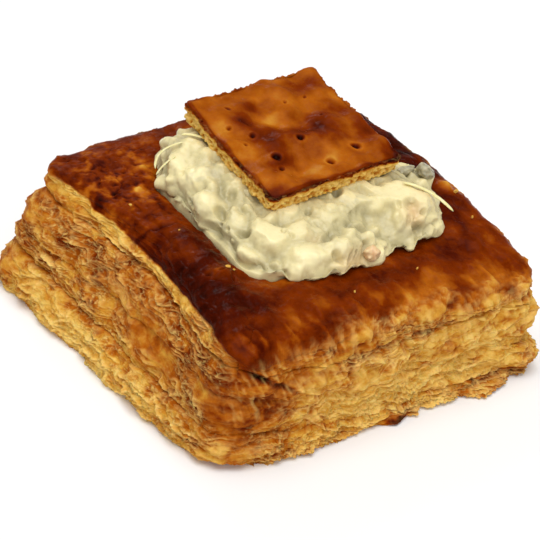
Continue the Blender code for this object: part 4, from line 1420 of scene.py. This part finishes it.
@dataclass
class Filling:
    """The filling: cream over lumps, with mushroom, ham and chicken, and shreds of cheese."""

    form: HeapForm = field(default_factory=HeapForm)
    sauce: CreamSauce = field(default_factory=CreamSauce)
    columns: int = 700
    rows: tuple[int, int, int] = (10, 7, 112)
    crowding: float = 1.7
    seed: int = 5
    kinds: tuple[Lumps, ...] = (
        Lumps(34, (3.6, 6.0), (1.0, 1.6), 0.5), Lumps(120, (1.3, 2.6), (1.2, 3.0), 0.9),
        Lumps(110, (0.7, 1.2), (1.5, 4.5), 0.75), Lumps(110, (0.6, 2.0), (1.2, 3.5), -1.2),
    )
    union: float = 1.6
    flow: tuple[Grain, ...] = tuple(Grain((6.0, 6.0, 6.0), seed, 1, 2.4) for seed in (85, 86, 87))
    fold: Grain = Grain((6.5, 6.5, 5.0), 81, 1, 0.8)
    ripple: Grain = Grain((2.2, 2.2, 2.2), 82, 2, 0.24)
    seat: Grain = Grain((7.0, 7.0, 7.0), 86)
    cover: Grain = Grain((2.2, 2.2, 2.2), 84, 2)
    # The sauce's tone, and how much painted shade and light follow its relief.
    tone_and_relief_shading: tuple[float, float] = (0.44, 0.16)
    tinted_above: float = 34.0
    tint_most: float = 0.7
    lump_base: float = 1.3
    seat_depth: float = 0.9
    coil: Triple = (21.0, -24.5, 3.4)
    coil_rise: float = 1.5
    shreds: tuple[Shred, ...] = (
        Shred(0.60, ((22.5, -17.8, 46.4), (28.0, -22.8, 44.8), (31.4, -29.4, 41.6))),
        Shred(0.50, ((-21.5, 22.6, 50.0), (-19.8, 21.0, 50.6), (-17.0, 19.0, 50.0))),
        Shred(0.38, ((-29.6, 21.4, 42.2), (-27.0, 23.0, 46.0), (-21.5, 20.2, 49.2))),
        Shred(0.34, ((-30.4, 19.6, 41.4), (-28.4, 19.4, 44.0), (-25.4, 18.6, 46.4))),
    )
    mushrooms: tuple[Bit, ...] = (
        Bit(34.0, -13.6, (2.3, 1.9, 1.4), (20, 30, 10), 0.3),
        Bit(29.0, -11.0, (2.8, 1.0, 1.0), (10, 0, 8), -0.2),
        Bit(20.0, 26.0, (3.0, 2.0, 1.2), (0, 30, 40), 0.3),
    )
    hams: tuple[Bit, ...] = (
        Bit(3.4, -30.8, (2.4, 1.6, 1.7), (50, 30, 60), -0.9),
        Bit(26.0, 22.0, (2.6, 1.6, 1.6), (20, 40, 10), 0.3),
    )
    stains: tuple[Spot, ...] = (
        Spot(-2.0, -33.0, (7.0, 3.0), 0.45), Spot(20.5, -26.0, (2.6, 2.6), 0.60),
        Spot(-11.0, -24.5, (2.5, 2.5), 0.2), Spot(27.0, -22.0, (3.0, 3.0), 0.35),
    )
    calm: tuple[Spot, ...] = (
        Spot(-21.0, 16.0, (6.0, 7.0), 0.8), Spot(-17.0, 2.0, (4.0, 6.0), 0.6),
        Spot(-2.0, -20.0, (8.0, 5.0), 0.7), Spot(28.0, -26.0, (3.0, 6.0), 0.6),
    )
    # Grey on the sauce: a mushroom tint near the mushroom cap, and painted shade in hollows, in a hole
    # and along a fold.
    grey_tint_and_shade_spots: tuple[Spot, ...] = (
        Spot(-22.5, 8.4, (4.0, 4.0), 0.5), Spot(-25.2, -5.5, (3.4, 4.0), 0.45),
        Spot(-8.0, -27.5, (4.0, 2.0), 0.35), Spot(31.0, -13.0, (4.0, 2.0), 0.5),
        Spot(8.0, -17.0, (7.0, 2.4), 0.35), Spot(-28.1, 5.2, (0.8, 0.8), 0.7),
    )

    def build(self) -> list[Piece]:
        """Build and dress the heap and what shows in it.

        Returns:
            The filling's pieces.
        """
        pieces = [self.heap()]
        cheese = Morsel("cheese", (228, 216, 150), (246, 236, 184), 1.5, 0.35)
        mushroom = Morsel("mushroom", (138, 130, 104), (192, 184, 152), 1.6, 0.25)
        ham = Morsel("ham", (212, 168, 120), (238, 214, 166), 1.6, 0.28)
        pieces.append(self.dressed(self.shred_piece(), cheese))
        pieces.append(self.dressed(self.morsels("mushroom_bits", self.mushrooms), mushroom))
        pieces.append(self.dressed(self.morsels("ham_bits", self.hams), ham))
        for piece in pieces:
            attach(piece, "root")
            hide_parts("filling")
        return pieces

    def dressed(self, piece: Piece, finish: Morsel) -> Piece:
        """The piece with its finish on it."""
        piece.data.materials.append(finish.material())
        return piece

    def heap(self) -> Piece:
        """The heap itself, from the well's floor to its crest."""
        form = self.form
        share = np.arange(self.columns) / self.columns
        in_well, under, over = self.rows
        plug = form.plug(*np.meshgrid(share, np.linspace(1.0, 0.0, in_well)))
        below = form.below(*np.meshgrid(share, np.linspace(0.0, form.overhang, under)))
        size = 1 - np.linspace(0.0, 1.0, over)[:-1] ** self.crowding
        top = form.top(*np.meshgrid(share, size))
        rings = np.concatenate([plug, below, top])
        row = np.arange(len(rings))[:, None] - len(plug)
        shown = ease(0.0, 8.0, row) * np.ones(rings.shape[:2])
        x, y, z = np.moveaxis(rings, -1, 0)
        out = self.lumps(rings, rings[len(plug) + 3:]) + self.coiled(x, y)
        flow = [axis + grain.at(x, y, z) for axis, grain in zip((x, y, z), self.flow)]
        ripple = self.fold.at(*flow) + self.ripple.at(x, y, z)
        calm = np.minimum(all_spots(self.calm, x, y), 0.8)
        relief = ((out - self.lump_base) * (1 - calm) + ripple) * shown
        surface = rings + surface_normals(rings) * relief[..., None]
        outline = len(plug) + len(below)
        seated = bell(row - len(below), 5.0) * ease(-0.4, 0.2, self.seat.at(x, y, z))
        surface[..., 2] -= self.seat_depth * seated
        outward = np.linspace(0.0, form.overhang, len(below))[:, None, None]
        surface[len(plug):outline, :, :2] = blend(plug[-1, :, :2], surface[outline, :, :2], outward)
        ceiling = form.lid.underside(surface[..., 0], surface[..., 1]) - form.gap / 2
        surface[..., 2] = np.minimum(surface[..., 2], ceiling)
        bare = ease(-0.4, 0.5, self.cover.at(x, y, z))
        tinted = z > self.tinted_above
        fields = {
            # Painted shade in the hollows and painted light on the crests: the tone follows the relief.
            "tone_and_relief_shading": self.tone_and_relief_shading[0] + self.tone_and_relief_shading[1] * np.clip(relief, -2.0, 1.2),
            "grey_tint_and_shade": np.minimum(all_spots(self.grey_tint_and_shade_spots, x, y), self.tint_most) * bare * tinted,
            "pink": np.minimum(all_spots(self.stains, x, y), self.tint_most) * tinted,
        }
        piece = Loft("creamy_filling", surface, Ends.CAPPED, fields).build()
        piece.data.materials.append(self.sauce.material())
        return piece

    def lumps(self, rings: Array, outside: Array) -> Array:
        """Coated lumps and strips all over the heap.

        Args:
            rings: the heap's points.
            outside: the rings that show, over which the lumps are spread evenly.

        Returns:
            How far the lumps stand out at each point.
        """
        draw = np.random.default_rng(self.seed)
        area = np.linalg.norm(
            np.cross(np.roll(outside, -1, 1) - outside, np.gradient(outside, axis=0)), axis=-1
        ).ravel()
        shown = outside.reshape(-1, 3)
        raised, sunk = np.zeros(rings.shape[:2]), np.zeros(rings.shape[:2])
        for kind in self.kinds:
            places = shown[draw.choice(len(shown), kind.count, p=area / area.sum())]
            radii = draw.uniform(*kind.radius, kind.count)
            longer = draw.uniform(*kind.longer, kind.count)
            axes = draw.normal(size=(kind.count, 3)) * np.array((1.0, 1.0, 0.6))
            axes /= np.linalg.norm(axes, axis=1, keepdims=True)
            for place, radius, length, axis in zip(places, radii, longer, axes):
                offset = rings - place
                along = offset @ axis
                squared = (offset**2).sum(-1) - along**2 * (1 - length**-2)
                far = np.sqrt(np.maximum(squared, 0.0)) / radius
                dome = np.clip(1 - far**2, 0.0, 1.0) ** 1.5 * radius * abs(kind.height)
                if kind.height > 0:
                    raised = raised + np.exp(self.union * dome) - 1
                else:
                    sunk = np.maximum(sunk, dome)
        return np.log1p(raised) / self.union - sunk

    def coiled(self, x: Array, y: Array) -> Array:
        """The curled chunk at the right corner: a thick ring round a hollow."""
        at_x, at_y, radius = self.coil
        far = np.hypot(x - at_x, y - at_y)
        return self.coil_rise * (bell(far - radius, 1.5) - 0.5 * bell(far, 1.6))

    def shred_piece(self) -> Piece:
        """The shreds of cheese: flat strips along smooth curves over the heap."""
        strips = [self.strip(index, shred) for index, shred in enumerate(self.shreds)]
        return join("cheese_shreds", strips)

    def strip(self, index: int, shred: Shred) -> Piece:
        """One flat strip through its shred's start, middle and end."""
        ends = np.array(shred.knots)
        step = np.linspace(0.0, 1.0, 22)[:, None]
        middle = 2 * ends[1] - (ends[0] + ends[2]) / 2
        path = (1 - step) ** 2 * ends[0] + 2 * step * (1 - step) * middle + step**2 * ends[2]
        width = shred.radius * np.sqrt(np.clip(1 - (2 * step - 1) ** 6, 0.05, 1.0))
        tangent = np.gradient(path, axis=0)
        tangent /= np.linalg.norm(tangent, axis=1, keepdims=True)
        across = np.cross(tangent, (0.0, 0.0, 1.0))
        across /= np.linalg.norm(across, axis=1, keepdims=True)
        up = np.cross(across, tangent)
        angles = np.arange(12) / 12 * 2 * math.pi
        rings = path[:, None] + width[:, None] * (
            across[:, None] * np.cos(angles)[:, None] + 0.55 * up[:, None] * np.sin(angles)[:, None]
        )
        return Loft(f"shred_{index}", rings, Ends.CAPPED).build()

    def morsels(self, name: str, bits: tuple[Bit, ...]) -> Piece:
        """Irregular rounded chips, sunk in the heap where they show."""
        chips = []
        for index, bit in enumerate(bits):
            place = self.on_heap(bit.x, bit.y) + np.array((0.0, 0.0, bit.proud))
            chips.append(chip(bit.size, bit.turn, place, index))
        return join(name, chips)

    def on_heap(self, x: float, y: float) -> Array:
        """The point of the heap's plain top over this place."""
        share, size = np.meshgrid(np.linspace(0, 1, 240, endpoint=False), np.linspace(0.02, 1.0, 80))
        points = self.form.top(share, size).reshape(-1, 3)
        return points[np.argmin(np.hypot(points[:, 0] - x, points[:, 1] - y))]


def chip(size: tuple[float, ...], turn: tuple[float, ...], place: Array, seed: int) -> Piece:
    """An irregular rounded chip: a cube rounded by subdivision, roughened and set in its place.

    Args:
        size: half its length, width and height, in mm.
        turn: its turn about X, Y and Z, in degrees.
        place: its middle.
        seed: what makes its shape differ from another's.

    Returns:
        The chip's object, at the origin.
    """
    bpy.ops.object.select_all(action="DESELECT")
    bpy.ops.mesh.primitive_cube_add(size=2.0)
    piece = bpy.context.object
    bpy.ops.object.mode_set(mode="EDIT")
    bpy.ops.mesh.select_all(action="SELECT")
    bpy.ops.mesh.subdivide(number_cuts=9, smoothness=0.0)
    bpy.ops.transform.tosphere(value=0.7)
    bpy.ops.object.mode_set(mode="OBJECT")
    flat = np.array([vertex.co for vertex in piece.data.vertices])
    rough = Grain((0.9, 0.9, 0.9), 90 + seed, 2).at(*flat.T)
    axes = np.array(Euler([math.radians(angle) for angle in turn]).to_matrix())
    points = (flat * (1 + 0.16 * rough[:, None]) * np.array(size)) @ axes.T
    piece.data.vertices.foreach_set("co", ((points + place) * MM).ravel())
    bpy.ops.object.shade_smooth()
    return piece


def join(name: str, pieces: list[Piece]) -> Piece:
    """The pieces as one object of this name."""
    bpy.ops.object.select_all(action="DESELECT")
    for piece in pieces:
        piece.select_set(True)
    bpy.context.view_layer.objects.active = pieces[0]
    bpy.ops.object.join()
    joined = bpy.context.object
    joined.name = joined.data.name = name
    return joined


@dataclass(frozen=True)
class Lamp:
    """A soft, even light towards the vol au vent.

    Args:
        name: the light's name.
        place: where it comes from, in mm.
        spread: how wide it looks from the floor, in degrees.
        strength: its light on a surface that faces it, in watts per square metre.
    """

    name: str
    place: Triple
    spread: float
    strength: float

    def build(self) -> None:
        """Make the light."""
        data = bpy.data.lights.new(self.name, "SUN")
        data.angle = math.radians(self.spread)
        data.energy = self.strength
        lamp = bpy.data.objects.new(self.name, data)
        lamp.location = Vector(self.place) * MM
        lamp.rotation_euler = (-Vector(self.place)).to_track_quat("-Z", "Y").to_euler()
        bpy.context.scene.collection.objects.link(lamp)


@dataclass(frozen=True)
class Studio:
    """The pale floor, the soft light and the camera at the photograph's angle."""

    floor_size: float = 3000.0
    azimuth: float = -38.6
    elevation: float = 31.0
    roll: float = 7.2
    distance: float = 419.5
    lens: float = 100.0
    sensor: float = 36.0
    aim: tuple[float, float] = (-3.1, 12.5)
    clip_start: float = 0.01
    sky: float = 0.30
    sky_colour: tuple[float, ...] = (1.0, 0.975, 0.93, 1.0)
    lamps: tuple[Lamp, ...] = (
        Lamp("key_light", (-80.0, -60.0, 700.0), 60.0, 2.35),
        Lamp("fill_light", (-300.0, -600.0, 350.0), 40.0, 0.8),
        Lamp("glint_light", (150.0, 450.0, 330.0), 14.0, 0.3),
    )

    def build(self) -> None:
        """Set up the floor, the lights and the camera."""
        self.floor()
        for lamp in self.lamps:
            lamp.build()
        self.surround()
        self.camera()

    def floor(self) -> None:
        """A plain pale floor."""
        bpy.ops.object.select_all(action="DESELECT")
        bpy.ops.mesh.primitive_plane_add(size=self.floor_size * MM)
        floor = bpy.context.object
        floor.name = "studio_floor"
        floor.data.materials.append(PlainFloor().material())
        floor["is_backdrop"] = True

    def surround(self) -> None:
        """A plain, faintly warm world that fills the shadows."""
        world = bpy.data.worlds.new("studio_world")
        world.use_nodes = True
        background = world.node_tree.nodes["Background"]
        background.inputs["Color"].default_value = self.sky_colour
        background.inputs["Strength"].default_value = self.sky
        bpy.context.scene.world = world
        bpy.context.scene.view_settings.view_transform = "Standard"

    def camera(self) -> None:
        """The camera, turned about its line of sight as the photograph is."""
        azimuth, elevation, roll = (math.radians(v) for v in (self.azimuth, self.elevation, self.roll))
        back = Vector((
            math.sin(azimuth) * math.cos(elevation),
            -math.cos(azimuth) * math.cos(elevation),
            math.sin(elevation),
        ))
        level = Vector((math.cos(azimuth), math.sin(azimuth), 0.0))
        upright = back.cross(level)
        right = level * math.cos(roll) + upright * math.sin(roll)
        up = upright * math.cos(roll) - level * math.sin(roll)
        target = level * self.aim[0] + upright * self.aim[1]
        place = (target + back * self.distance) * MM
        data = bpy.data.cameras.new("photo_camera")
        data.lens, data.sensor_width = self.lens, self.sensor
        data.clip_start = self.clip_start
        camera = bpy.data.objects.new("photo_camera", data)
        turned = Matrix((right, up, back)).transposed().to_4x4()
        camera.matrix_world = Matrix.Translation(place) @ turned
        bpy.context.scene.collection.objects.link(camera)
        bpy.context.scene.camera = camera


def write_sizes() -> None:
    """Gather the solids' box and the visual model's box, in metres."""
    boxes = {
        name: [list(corner) for corner in box]
        for name, box in (("cad", CAD_BOX), ("visual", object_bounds()))
    }


def main() -> None:
    """Build the vol au vent and its studio."""
    logging.basicConfig(level=logging.INFO, format="%(name)s: %(message)s")
    case = PastryCase()
    pieces = case.build()
    pieces += Lid().build(pieces[0].data.materials[0])
    pieces += Filling().build()
    for piece in pieces:
        LOG.info("%s: %d faces", piece.name, len(piece.data.polygons))
    Studio().build()
    write_sizes()


if __name__ == "__main__":
    main()
